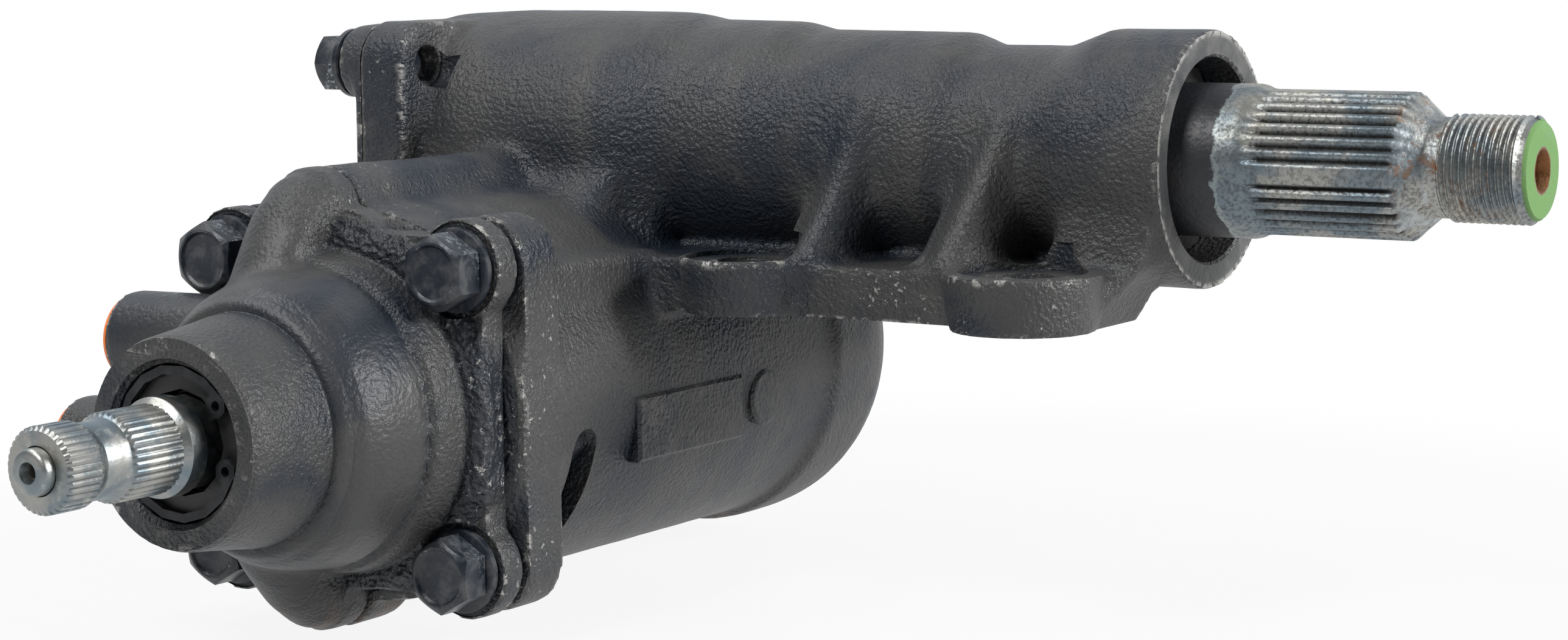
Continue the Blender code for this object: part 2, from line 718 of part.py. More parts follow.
def barrel_shoulder():
    """The fairing behind the flange, the rail on to the ledge, the oil passages and the cast pads."""
    start, top = GEAR_FLANGE_BACK_Y - 3 * MM, WORM_Z + FLANGE_HALF_H - 2 * MM
    fairing = loft("shoulder", [
        [(-half_w, y, WORM_Z), (half_w, y, WORM_Z), (half_w, y, z), (-half_w, y, z)]
        for y, half_w, z in (
            (start, BARREL_R - 6.3 * MM, top),
            (start + 12 * MM, BARREL_R - 9 * MM, top - 5.5 * MM),
            (start + 27 * MM, BARREL_R - 15 * MM, top - 11.5 * MM),
        )
    ])
    ledge_top = -FACE_DROP + LEDGE_T
    rail = block("side_rail", (14 * MM, start + 1 * MM, ledge_top - 10 * MM),
                 (BARREL_R - 5.7 * MM, LEDGE_FRONT_Y + 4 * MM, ledge_top + 0.8 * MM))
    wall = -CHAMBER_HALF_W
    foot = prism("chamber_foot", "X", [
        (wall + 4 * MM, 2 * MM), (wall - 0.3 * MM, -4 * MM), (wall - 2 * MM, -9 * MM), (wall - 6 * MM, -13 * MM),
        (wall - 12 * MM, -16 * MM), (wall + 4 * MM, -30 * MM),
    ], -27 * MM, CHAMBER_END_X - 1.5 * MM)
    high = (PASSAGE_X, 0, WORM_Z + PASSAGE_RISE)
    low = (PASSAGE_X, 0, WORM_Z - PASSAGE_FALL)
    upper = rod("upper_passage", "Y", FLANGE_JOINT_Y + 1 * MM, -24 * MM, PASSAGE_R, high, 8 * MM)
    lower = rod("lower_passage", "Y", FLANGE_JOINT_Y + 1 * MM, -60 * MM, PASSAGE_R, low, 5 * MM)
    pad_front, pad_back = -53.0 * MM, -12.0 * MM
    pad = block("cast_pad", (30 * MM, pad_front, WORM_Z - 14 * MM), (BARREL_R + 0.6 * MM, pad_back, WORM_Z - 0.5 * MM))
    boss = rod("cast_boss", "X", 34 * MM, BARREL_R + 0.2 * MM, 6.2 * MM, (0, -3 * MM, WORM_Z - 6.5 * MM))
    return [fairing, rail, foot, upper, lower, pad, boss]


def mounting_ledge():
    """The plate under the tube with its machined lower face, its bolt bosses and its ribs."""
    low, high = -FACE_DROP, -FACE_DROP + LEDGE_T
    (near_x, near_y), (second_x, second_y), (far_x, far_y) = MOUNT_HOLES
    outline = [(12 * MM, LEDGE_FRONT_Y), (near_x - BOSS_TOP_R + 2 * MM, LEDGE_FRONT_Y)]
    outline += [(near_x, LEDGE_FRONT_Y), (LEDGE_END_X, near_y + 4 * MM), (LEDGE_END_X, LEDGE_BACK_Y - 12 * MM)]
    outline += [(far_x + 34 * MM, LEDGE_BACK_Y), (12 * MM, LEDGE_BACK_Y)]
    pieces = [prism("ledge", "Z", outline, low, high)]
    for x, y in MOUNT_HOLES:
        foot_r = BOSS_FOOT_R if (x, y) != MOUNT_HOLES[1] else BOSS_FOOT_R - 1.5 * MM
        top_r = BOSS_TOP_R if (x, y) != MOUNT_HOLES[1] else BOSS_FOOT_R
        pieces.append(rod("mount_boss", "Z", low, high + BOSS_RISE, foot_r, (x, y, 0), top_r))
    for x in RIB_X:
        for side, edge in ((-1, -LEDGE_FRONT_Y), (1, LEDGE_BACK_Y)):
            profile = ((12 * MM, 19 * MM), (24 * MM, 11 * MM), (edge - RIB_INSET, high - 1 * MM), (12 * MM, high - 1 * MM))
            pieces.append(hull("rib", [
                (x + (z - high) * RIB_LEAN + thick, side * y, z)
                for y, z in profile for thick in (-RIB_T / 2, RIB_T / 2)
            ]))
    pieces.append(hull("end_web", [
        (near_x, -8 * MM, -20 * MM), (END_WEB_X, -8 * MM, -20 * MM),
        (END_WEB_X, -25 * MM, -9 * MM), (near_x, -26 * MM, -6 * MM),
        (near_x, -8 * MM, low), (LEDGE_END_X, -8 * MM, low),
        (LEDGE_END_X, near_y + 3 * MM, low), (near_x + 6 * MM, near_y - 12 * MM, low),
        (END_WEB_X - 1 * MM, -27 * MM, high), (near_x + 8 * MM, near_y - 9 * MM, high - 4 * MM),
    ]))
    return pieces


def gear_bores():
    """The barrel's bore, the sector's opening and the stepped bore of the tube."""
    worm_centre = (0, 0, WORM_Z)
    bore = rod("barrel_bore", "Y", FLANGE_JOINT_Y - 2 * MM, BARREL_FLOOR_Y, BARREL_BORE_R, worm_centre, steps=24)
    fan = fan_outline(SECTOR_HUB_R + 7 * MM, SECTOR_TIP_R + 2 * GAP)
    opening = prism("sector_opening", "X", fan, COVER_FACE_X - 2 * MM, SECTOR_HALF_WIDTH + 1.5 * MM)
    tube_bore = turned("tube_bore", "X", (
        (SECTOR_HALF_WIDTH, SEAL_SEAT_R),
        (SECTOR_HALF_WIDTH + 24 * MM, SEAL_SEAT_R),
        (SECTOR_HALF_WIDTH + 24 * MM, TUBE_BORE_R),
        (SEAL_SEAT_X - 22 * MM, TUBE_BORE_R),
        (SEAL_SEAT_X - 22 * MM, SEAL_SEAT_R - 1 * MM),
        (SEAL_SEAT_X, SEAL_SEAT_R - 1 * MM),
        (SEAL_SEAT_X, SEAL_SEAT_R),
        (TUBE_END_X + 2 * MM, SEAL_SEAT_R),
    ))
    return [bore, opening, tube_bore]


def gear_holes():
    """Bolt holes and the machined seats round the mounting holes."""
    cutters = []
    for x, z in valve_bolt_places():
        cutters.append(rod("valve_bolt_hole", "Y", FLANGE_JOINT_Y - 2 * MM, GEAR_FLANGE_BACK_Y + 4 * MM, M10_R + GAP, (x, 0, z), steps=8))
    for y, z in cover_bolt_places():
        end = COVER_FACE_X + COVER_FLANGE_T + 4 * MM
        cutters.append(rod("cover_bolt_hole", "X", COVER_FACE_X - 2 * MM, end, M8_R + GAP, (0, y, z), steps=8))
    top = -FACE_DROP + LEDGE_T + BOSS_RISE
    for x, y in MOUNT_HOLES:
        cutters.append(rod("mount_hole", "Z", -FACE_DROP - 2 * MM, top + 8 * MM, MOUNT_HOLE_R, (x, y, 0)))
        cutters.append(rod("spotface", "Z", top - 0.6 * MM, top + 6 * MM, SPOTFACE_R, (x, y, 0), steps=16))
    return cutters


def valve_housing(finish):
    """The nose casting, with its flange, oil-passage saddles and two hydraulic ports."""
    front = VALVE_FLANGE_FRONT_Y
    body = turned("valve_casting", "Y", (
        (NOSE_Y, NOSE_R - 1 * MM),
        (NOSE_Y + 1 * MM, NOSE_R),
        (NOSE_FOOT_Y - 2 * MM, NOSE_R + 2.2 * MM),
        (NOSE_FOOT_Y, NOSE_R + 3.4 * MM),
        (NOSE_FOOT_Y + 4 * MM, DOME_R - 3 * MM),
        (NOSE_FOOT_Y + 10 * MM, DOME_R - 0.8 * MM),
        (DOME_FOOT_Y, DOME_R),
        (DOME_FOOT_Y + 1.5 * MM, DOME_R - 0.6 * MM),
        (DOME_FOOT_Y + 3 * MM, COLLAR_RING_R),
        (front - 4 * MM, COLLAR_RING_R + 1.2 * MM),
        (front + 1 * MM, COLLAR_RING_R + 4 * MM),
    ), "big", (0, 0, WORM_Z))
    adds = [prism("valve_flange", "Y", flange_outline(), front, FLANGE_JOINT_Y - GAP / 2)]
    spigot_r = BARREL_BORE_R - GAP
    adds.append(rod("spigot", "Y", front, FLANGE_JOINT_Y + SPIGOT_DEPTH, spigot_r, (0, 0, WORM_Z), steps=24))
    for side, rise in ((1, PASSAGE_RISE), (-1, PASSAGE_FALL)):
        adds.append(hull("saddle", [
            point
            for along, drop, thinner in SADDLE
            for point in circle_points("Y", front + 1 * MM - along, (PASSAGE_X, WORM_Z + side * (rise - drop)), PASSAGE_R - thinner)
        ]))
    for y, rise in PORTS:
        adds.append(rod("port_boss", "X", PORT_X, -8 * MM, PORT_R, (0, y, WORM_Z + rise)))
    adds.append(block("port_web", (PORT_X + 12 * MM, PORTS[1][0], WORM_Z - 10 * MM), (-12 * MM, PORTS[0][0], WORM_Z + 12 * MM)))
    join(body, adds)
    cut(body, valve_bores())
    return part("valve_housing", body, finish)


def valve_bores():
    seal_end = NOSE_Y + SEAL_BORE_DEPTH
    bore = turned("valve_bore", "Y", (
        (NOSE_Y - 2 * MM, SEAL_BORE_R + 3 * MM),
        (NOSE_Y, SEAL_BORE_R + 1 * MM),
        (NOSE_Y + 1 * MM, SEAL_BORE_R),
        (seal_end, SEAL_BORE_R),
        (seal_end, INPUT_BEARING_R),
        (SLEEVE_BORE_END_Y, INPUT_BEARING_R),
        (SLEEVE_BORE_END_Y, SLEEVE_R + GAP),
        (POCKET_Y, SLEEVE_R + GAP),
        (POCKET_Y, WORM_BEARING_R + GAP),
        (FLANGE_JOINT_Y - 0.6 * MM, WORM_BEARING_R + GAP),
        (FLANGE_JOINT_Y - 0.6 * MM, WORM_BEARING_R + 2 * MM),
        (FLANGE_JOINT_Y + SPIGOT_DEPTH + 2 * MM, WORM_BEARING_R + 2 * MM),
    ), "fine", (0, 0, WORM_Z))
    ring_y = FLANGE_JOINT_Y + SPIGOT_DEPTH / 2
    groove = turned("o_ring_groove", "Y", (
        (ring_y - 1.3 * MM, BARREL_BORE_R + 2 * MM),
        (ring_y + 1.3 * MM, BARREL_BORE_R + 2 * MM),
        (ring_y + 1.3 * MM, BARREL_BORE_R - 2.4 * MM),
        (ring_y - 1.3 * MM, BARREL_BORE_R - 2.4 * MM),
    ), "big", (0, 0, WORM_Z), hollow=True)
    cutters = [bore, groove]
    for x, z in valve_bolt_places():
        cutters.append(rod("valve_bolt_way", "Y", VALVE_FLANGE_FRONT_Y - 1 * MM, FLANGE_JOINT_Y + 2 * MM, M10_R + GAP, (x, 0, z), steps=8))
        seat = VALVE_FLANGE_FRONT_Y + 0.5 * MM
        cutters.append(rod("washer_seat", "Y", seat - 10 * MM, seat, M10_R + 4.6 * MM, (x, 0, z)))
    for y, rise in PORTS:
        cutters.append(rod("port_bore", "X", PORT_X - 2 * MM, -SLEEVE_R + 3 * MM, PORT_BORE_R, (0, y, WORM_Z + rise), steps=8))
    return cutters


def side_cover(finish):
    back = COVER_BACK_X
    front = back - COVER_PLATE_T
    body = prism("cover_plate", "X", cover_outline(COVER_LOBE_R - 0.5 * MM), front, back)
    adds = [
        turned("cover_boss", "X", (
            (COVER_BOSS_X, COVER_BOSS_R - 2 * MM),
            (COVER_BOSS_X + 2 * MM, COVER_BOSS_R),
            (front, COVER_BOSS_R + 1.5 * MM),
            (back - 1 * MM, COVER_BOSS_R + 1.5 * MM),
        )),
        rod("cover_spigot", "X", back - 1 * MM, COVER_FACE_X + 4 * MM, SECTOR_HUB_R + 7 * MM - 3 * GAP, steps=14),
    ]
    for y, z in cover_bolt_places():
        adds.append(rod("cover_lug", "X", back - COVER_LUG_H, back - 1 * MM, COVER_LOBE_R - 0.8 * MM, (0, y, z)))
        adds.append(hull("cover_web", [
            (x, a * y + b, a * z + c) for x, a, b, c in (
                (back - 1 * MM, 0.9, 2 * MM, 2 * MM), (back - 1 * MM, 0.9, -2 * MM, -2 * MM),
                (back - COVER_LUG_H + 2 * MM, 0.9, 2 * MM, -2 * MM), (back - COVER_LUG_H + 2 * MM, 0.9, -2 * MM, 2 * MM),
                (back - 1 * MM, 0.4, 2 * MM, 2 * MM), (back - 1 * MM, 0.4, -2 * MM, -2 * MM),
                (COVER_BOSS_X + 6 * MM, 0.4, 2 * MM, -2 * MM), (COVER_BOSS_X + 6 * MM, 0.4, -2 * MM, 2 * MM),
            )
        ]))
    join(body, adds)
    cutters = [
        rod("cover_bore", "X", COVER_BOSS_X + 3 * MM, COVER_FACE_X + 6 * MM, COVER_BEARING_R),
        rod("adjuster_hole", "X", COVER_BOSS_X - 2 * MM, COVER_BOSS_X + 5 * MM, ADJUSTER_R + GAP, steps=16),
    ]
    for y, z in cover_bolt_places():
        cutters.append(rod("cover_bolt_way", "X", back - COVER_LUG_H - 2 * MM, back + 2 * MM, M8_R + GAP, (0, y, z), steps=8))
    cut(body, cutters)
    return part("side_cover", body, finish)


def cover_gasket(finish):
    start = COVER_FACE_X - GAP - GASKET_T
    sheet = prism("gasket_sheet", "X", cover_outline(COVER_LOBE_R - 0.6 * MM), start, start + GASKET_T)
    cutters = [prism("gasket_opening", "X", fan_outline(SECTOR_HUB_R + 7.3 * MM, SECTOR_TIP_R + 1 * MM), start - 1 * MM, start + 2 * MM)]
    for y, z in cover_bolt_places():
        cutters.append(rod("gasket_hole", "X", start - 1 * MM, start + 2 * MM, M8_R + GAP, (0, y, z), steps=8))
    cut(sheet, cutters)
    return part("side_cover_gasket", sheet, finish)


def sector_shaft(finish):
    """Trunnion, toothed sector, journals, master spline and threaded end."""
    body = turned("sector_core", "X", (
        (COVER_BOSS_X + 3 * MM + GAP, TRUNNION_R - 0.8 * MM),
        (COVER_BOSS_X + 4 * MM, TRUNNION_R),
        (COVER_FACE_X + 6.5 * MM, TRUNNION_R),
        (COVER_FACE_X + 7 * MM, TRUNNION_R + 2.5 * MM),
        (-SECTOR_HALF_WIDTH + 1 * MM, TRUNNION_R + 2.5 * MM),
        (-SECTOR_HALF_WIDTH + 1 * MM, SECTOR_HUB_R - 1.5 * MM),
        (SECTOR_HALF_WIDTH, SECTOR_HUB_R - 0.5 * MM),
        (LAND_X, JOURNAL_R),
        (LAND_X + 1 * MM, LAND_R),
        (SPLINE_X - 1.5 * MM, LAND_R),
        (SPLINE_X, SPLINE_R - 0.2 * MM),
        (SPLINE_X + 3 * MM, SPLINE_ROOT_R - 0.2 * MM),
        (SPLINE_END_X + 1 * MM, SPLINE_ROOT_R - 0.2 * MM),
        (NECK_X, NECK_R),
        (THREAD_X, NECK_R),
        (THREAD_X + 0.8 * MM, THREAD_R),
        (SHAFT_END_X - 1.2 * MM, THREAD_R),
        (SHAFT_END_X, THREAD_R - 0.8 * MM),
    ), "shaft")
    teeth = prism("sector_teeth", "X", sector_outline(), -SECTOR_HALF_WIDTH, SECTOR_HALF_WIDTH)
    join(body, [teeth, spline_band()])
    screw_hole = rod("screw_hole", "X", COVER_BOSS_X, ADJUSTER_HEAD_X[1] + GAP, ADJUSTER_R + 1.6 * MM + GAP, steps=16)
    centre_hole = turned("centre_hole", "X", (
        (SHAFT_END_X - 11 * MM, 0.4 * MM),
        (SHAFT_END_X - 9 * MM, 2.6 * MM),
        (SHAFT_END_X - 2.2 * MM, 2.6 * MM),
        (SHAFT_END_X + 1 * MM, 4.6 * MM),
    ), "coarse")
    cut(body, [screw_hole, centre_hole])
    return part("sector_shaft", body, finish, SECTOR_AXIS)


ADJUSTER_HEAD_X = (COVER_BOSS_X + 6 * MM, COVER_BOSS_X + 9 * MM)


def spline_band():
    """The serrated band: V grooves that run out towards the seal land, with a land at each master place."""
    half_groove = 0.34 * 2 * math.pi / SPLINE_PLACES
    places = []
    for i in range(SPLINE_PLACES):
        middle = 2 * math.pi * (i + 0.5) / SPLINE_PLACES
        if i % MASTER_EVERY:
            places += [(middle - half_groove, 0), (middle, 1), (middle + half_groove, 0)]
        else:
            places += [(middle - half_groove, 0), (middle + half_groove, 0)]
    sections = []
    stations = (
        (SPLINE_X, SPLINE_R, 0.0),
        (SPLINE_X + 4.5 * MM, SPLINE_R, 1.0),
        (SPLINE_END_X, SPLINE_R, 1.0),
        (NECK_X - 1.5 * MM, NECK_R + 1.8 * MM, 0.0),
    )
    for x, outer, depth in stations:
        ring = []
        for angle, groove in places:
            turn = angle + math.radians(180)
            radius = outer - groove * depth * (SPLINE_R - SPLINE_ROOT_R)
            ring.append((x, radius * math.cos(turn), radius * math.sin(turn)))
        sections.append(ring)
    return loft("spline_band", sections)


def ring(name, axis, centre, start, end, outer, inner, finish, steps="fine", lip=0.0, hung=None):
    """A plain or lipped ring: bearings, seals, races and washers."""
    inner = outside(inner, ROUND[steps])
    profile = [(start, outer), (end, outer), (end, inner)]
    if lip:
        profile += [((start + end) / 2, inner + lip)]
    profile += [(start, inner)]
    return part(name, turned(name + "_form", axis, profile, steps, centre, hollow=True), finish, hung)


def sector_rings(steel, rubber):
    """What the sector shaft runs in, from the cover to the output end."""
    o = (0, 0, 0)
    ring("cover_needle_bearing", "X", o, COVER_FACE_X - 9.5 * MM, COVER_FACE_X + 3.5 * MM,
         COVER_BEARING_R - GAP, TRUNNION_R + GAP, steel)
    inner_start = SECTOR_HALF_WIDTH + 3 * MM
    ring("inner_needle_bearing", "X", o, inner_start, SECTOR_HALF_WIDTH + 23 * MM,
         SEAL_SEAT_R - GAP, JOURNAL_R + GAP, steel)
    outer_start = SEAL_SEAT_X - 22 * MM + GAP
    ring("outer_needle_bearing", "X", o, outer_start, SEAL_SEAT_X - GAP,
         SEAL_SEAT_R - 1 * MM - GAP, JOURNAL_R + GAP, steel)
    ring("sector_oil_seal", "X", o, SEAL_SEAT_X + GAP, SEAL_SEAT_X + 8 * MM,
         SEAL_SEAT_R - GAP, JOURNAL_R + GAP, rubber, lip=1.2 * MM)
    ring("sector_backup_washer", "X", o, SEAL_SEAT_X + 8.3 * MM, SEAL_SEAT_X + 9.8 * MM,
         SEAL_SEAT_R - GAP, JOURNAL_R + GAP, steel)
    ring("sector_dust_seal", "X", o, LAND_X + 1.6 * MM, LAND_X + 6.5 * MM,
         SEAL_SEAT_R - GAP, LAND_R + GAP, rubber, lip=0.8 * MM)


def piston_nut(finish):
    """The ball nut and piston in one, with its rack, ball track and return-tube pocket."""
    centre = (0, 0, WORM_Z)
    land_r = PISTON_R
    ring_low, ring_high = RING_GROOVE_Y
    body = turned("piston_body", "Y", (
        (PISTON_FRONT_Y, land_r - 1.5 * MM),
        (PISTON_FRONT_Y + 1.5 * MM, land_r),
        (ring_low, land_r),
        (ring_low, land_r - RING_GROOVE_DEPTH),
        (ring_high, land_r - RING_GROOVE_DEPTH),
        (ring_high, land_r),
        (PISTON_BACK_Y - 1.5 * MM, land_r),
        (PISTON_BACK_Y, land_r - 1.5 * MM),
    ), "big", centre)
    rack = prism("rack_space", "X", rack_outline(), -PISTON_R - 2 * MM, PISTON_R + 2 * MM)
    bore_end = PISTON_BACK_Y - PISTON_END_WALL
    bore = rod("nut_bore", "Y", PISTON_FRONT_Y - 2 * MM, bore_end, NUT_BORE_R, centre)
    track = tube("nut_track", helix(BALL_CIRCLE_R, CIRCUIT_Y - WORM_LEAD / 6, CIRCUIT_TURNS + 1 / 3, CIRCUIT_START - 1 / 6, 18), GROOVE_R, 1)
    legs = [
        rod("guide_leg_hole", "Z", WORM_Z - 24 * MM, WORM_Z + 1 * MM, GUIDE_R + GAP, (x, y, 0), steps=16)
        for x, y in guide_ends()
    ]
    middle_y = CIRCUIT_Y + CIRCUIT_TURNS * WORM_LEAD / 2
    pocket = block("guide_pocket",
                   (-24 * MM, middle_y - 15 * MM, WORM_Z - PISTON_R - 2 * MM),
                   (24 * MM, middle_y + 15 * MM, WORM_Z + GUIDE_FLAT))
    cut(body, [rack, bore, track, pocket] + legs)
    return part("piston_nut", body, finish, PISTON_AXIS)


RING_GROOVE_Y = (-64.5 * MM, -60.5 * MM)
RING_GROOVE_DEPTH = 2.6 * MM
GUIDE_R = 3.9 * MM
GUIDE_FLAT = -20.0 * MM


def guide_ends():
    """Where the return tube meets the two ends of the ball circuit, beside the worm."""
    return [(-BALL_CIRCLE_R, CIRCUIT_Y), (BALL_CIRCLE_R, CIRCUIT_Y + CIRCUIT_TURNS * WORM_LEAD)]


def return_guide(finish):
    """The bent tube that takes the balls from one end of the circuit back to the other."""
    (x0, y0), (x1, y1) = guide_ends()
    top = -math.sqrt(WORM_R ** 2 - (BALL_CIRCLE_R - GUIDE_R) ** 2) - 1 * MM
    path = [(x0, y0, WORM_Z + top)]
    for i in range(7):
        turn = math.pi * i / 6
        share = (1 - math.cos(turn)) / 2
        path.append((x0 + (x1 - x0) * share, y0 + (y1 - y0) * share,
                     WORM_Z + GUIDE_FLAT - 1.5 * MM - 6 * MM * math.sin(turn)))
    path.append((x1, y1, WORM_Z + top))
    body = tube("guide_outside", path, GUIDE_R, 1)
    path[0] = (x0, y0, WORM_Z)
    path[-1] = (x1, y1, WORM_Z)
    cut(body, [tube("guide_inside", path, BALL_R, 1)])
    return part("ball_return_tube", body, finish, PISTON_AXIS)


def guide_clamp(finish):
    """The strap that holds the return tube down, and its screw."""
    y = CIRCUIT_Y + CIRCUIT_TURNS * WORM_LEAD / 2
    top = WORM_Z + GUIDE_FLAT - GAP
    strap = block("clamp_strap", (-7 * MM, y + 9 * MM, top - 2 * MM), (7 * MM, y + 14 * MM, top))
    head = rod("clamp_screw_head", "Z", top - 4.5 * MM, top - 1.8 * MM, 2.2 * MM, (0, y + 11.5 * MM, 0), steps=12)
    join(strap, [head, block("clamp_tongue", (-3 * MM, y + 2.5 * MM + GUIDE_R, top - 6 * MM), (3 * MM, y + 9.2 * MM, top - 0.5 * MM))])
    return part("return_tube_clamp", strap, finish, PISTON_AXIS)


def ball_train(finish):
    """The circuit's balls. Neighbours touch, so they are one string of beads along the track."""
    spacing = 2.0 * BALL_R
    step = spacing / math.hypot(2 * math.pi * BALL_CIRCLE_R, WORM_LEAD)
    beads = int((CIRCUIT_TURNS - 0.02) / step)
    points, sizes = [], []
    for i in range(beads):
        for along, size in ((-0.96, 0.28), (-0.5, 0.87), (0.5, 0.87)):
            turn = (i + 0.5 + along / 2) * step
            points += helix(BALL_CIRCLE_R, CIRCUIT_Y + WORM_LEAD * turn, 0, CIRCUIT_START + turn)
            sizes.append(size)
    return part("ball_train", tube("balls", points, BALL_R, 1, sizes), finish, PISTON_AXIS)


def worm_screw(finish):
    """Nose, bearing journal, shoulder and ball screw, bored for the torsion bar."""
    nose_y = POCKET_Y - 7.5 * MM
    body = turned("worm_core", "Y", (
        (nose_y, SPOOL_R - 0.5 * MM),
        (POCKET_Y - GAP, SPOOL_R - 0.5 * MM),
        (POCKET_Y + GAP, WORM_JOURNAL_R),
        (FLANGE_JOINT_Y - 1 * MM, WORM_JOURNAL_R),
        (FLANGE_JOINT_Y - 1 * MM, WORM_SHOULDER_R),
        (FLANGE_JOINT_Y + 5 * MM, WORM_SHOULDER_R),
        (FLANGE_JOINT_Y + 6 * MM, WORM_R - 2.4 * MM),
        (FLANGE_JOINT_Y + 10 * MM, WORM_R - 2.4 * MM),
        (FLANGE_JOINT_Y + 12 * MM, WORM_R),
        (WORM_END_Y - 1.5 * MM, WORM_R),
        (WORM_END_Y, WORM_R - 1.5 * MM),
    ), "fine", (0, 0, WORM_Z))
    bore = turned("worm_bore", "Y", (
        (nose_y - 2 * MM, 7.6 * MM),
        (nose_y + 7 * MM, 7.6 * MM),
        (nose_y + 7 * MM, TORSION_HEAD_R + GAP),
        (WORM_END_Y + 2 * MM, TORSION_HEAD_R + GAP),
    ), "coarse", (0, 0, WORM_Z))
    pin_hole = rod("worm_pin_hole", "X", -20 * MM, 20 * MM, PIN_R + 0.2 * MM, (0, WORM_PIN_Y, WORM_Z), steps=12)
    cut(body, [tube("worm_groove", worm_track(), GROOVE_R, 1), bore, pin_hole])
    return part("worm_screw", body, finish, WORM_AXIS)


PIN_R = 1.6 * MM
WORM_PIN_Y = WORM_END_Y - 4.0 * MM


def input_shaft(finish):
    """Serrated end, waist for a pinch bolt, collar, journal and slotted valve spool."""
    rear_band_y = INPUT_COLLAR_Y - 11.5 * MM
    waist_y = rear_band_y - 5.5 * MM
    body = turned("input_core", "Y", (
        (INPUT_TIP_Y, INPUT_TIP_R - SERRATION_DEPTH),
        (INPUT_TIP_Y + 1 * MM, INPUT_FRONT_BAND_R - SERRATION_DEPTH - 0.1 * MM),
        (waist_y, INPUT_FRONT_BAND_R - SERRATION_DEPTH - 0.1 * MM),
        (waist_y + 1.5 * MM, INPUT_WAIST_R - 0.6 * MM),
        (rear_band_y - 1.2 * MM, INPUT_WAIST_R - 0.6 * MM),
        (rear_band_y, INPUT_REAR_BAND_R - SERRATION_DEPTH - 0.1 * MM),
        (INPUT_COLLAR_Y - 0.5 * MM, INPUT_REAR_BAND_R - SERRATION_DEPTH - 0.1 * MM),
        (INPUT_COLLAR_Y, INPUT_COLLAR_R),
        (INPUT_COLLAR_Y + 4 * MM, INPUT_COLLAR_R),
        (INPUT_COLLAR_Y + 4.5 * MM, INPUT_JOURNAL_R),
        (SLEEVE_BORE_END_Y + 1.2 * MM, INPUT_JOURNAL_R),
        (SLEEVE_BORE_END_Y + 1.5 * MM, SPOOL_R),
        (SPOOL_END_Y, SPOOL_R),
        (SPOOL_END_Y, 7.2 * MM),
        (SPOOL_END_Y + 6.5 * MM, 7.2 * MM),
    ), "fine", (0, 0, WORM_Z))
    front = prism("front_band", "Y", star(INPUT_FRONT_BAND_R, SERRATION_DEPTH, SERRATIONS), INPUT_TIP_Y + 0.8 * MM, waist_y + 0.3 * MM)
    rear = prism("rear_band", "Y", star(INPUT_REAR_BAND_R, SERRATION_DEPTH, SERRATIONS), rear_band_y - 0.3 * MM, INPUT_COLLAR_Y + 1 * MM)
    for band in (front, rear):
        band.matrix_basis = Matrix.Translation((0, 0, WORM_Z)) @ band.matrix_basis
    join(body, [front, rear])
    cutters = [turned("input_bore", "Y", (
        (INPUT_TIP_Y - 2 * MM, TORSION_HEAD_R + 0.2 * MM),
        (SPOOL_END_Y + 9 * MM, TORSION_HEAD_R + 0.2 * MM),
    ), "coarse", (0, 0, WORM_Z))]
    for i in range(SPOOL_SLOTS):
        angle = 2 * math.pi * i / SPOOL_SLOTS
        centre = (SPOOL_R * math.cos(angle), 0, WORM_Z + SPOOL_R * math.sin(angle))
        cutters.append(rod("spool_slot", "Y", SLEEVE_BORE_END_Y + 5 * MM, SPOOL_END_Y - 3 * MM, 1.5 * MM, centre, steps=6))
    cutters.append(rod("input_pin_hole", "X", -20 * MM, 20 * MM, PIN_R + 0.2 * MM, (0, INPUT_PIN_Y, WORM_Z), steps=8))
    cut(body, cutters)
    return part("input_shaft", body, finish, INPUT_AXIS)


SPOOL_SLOTS = 6
SPOOL_END_Y = POCKET_Y - 8.1 * MM
INPUT_PIN_Y = SLEEVE_BORE_END_Y - 12.0 * MM


def torsion_bar(finish):
    """The thin spring bar inside the shafts: its tip shows as the small nipple at the input end."""
    body = turned("torsion_core", "Y", (
        (TORSION_TIP_Y, TORSION_HEAD_R - 0.6 * MM),
        (TORSION_TIP_Y + 0.6 * MM, TORSION_HEAD_R),
        (INPUT_PIN_Y + 6 * MM, TORSION_HEAD_R),
        (INPUT_PIN_Y + 12 * MM, TORSION_WAIST_R),
        (WORM_PIN_Y - 12 * MM, TORSION_WAIST_R),
        (WORM_PIN_Y - 6 * MM, TORSION_HEAD_R),
        (WORM_END_Y - 0.8 * MM, TORSION_HEAD_R),
    ), "coarse", (0, 0, WORM_Z))
    cut(body, [
        rod("bar_centre", "Y", TORSION_TIP_Y - 1 * MM, TORSION_TIP_Y + 3.5 * MM, 1.9 * MM, (0, 0, WORM_Z), 0.8 * MM, 8),
        rod("bar_pin_hole", "X", -20 * MM, 20 * MM, PIN_R + 0.2 * MM, (0, INPUT_PIN_Y, WORM_Z), steps=8),
        rod("bar_pin_hole_2", "X", -20 * MM, 20 * MM, PIN_R + 1.0 * MM, (0, WORM_PIN_Y, WORM_Z), steps=8),
    ])
    return part("torsion_bar", body, finish, INPUT_AXIS)


def pins(finish):
    for name, y, half, axis in (
        ("input_pin", INPUT_PIN_Y, INPUT_JOURNAL_R - 0.5 * MM, INPUT_AXIS),
        ("worm_pin", WORM_PIN_Y, WORM_R - 3.4 * MM, WORM_AXIS),
    ):
        part(name, rod(name + "_form", "X", -half, half, PIN_R, (0, y, WORM_Z), steps=10), finish, axis)


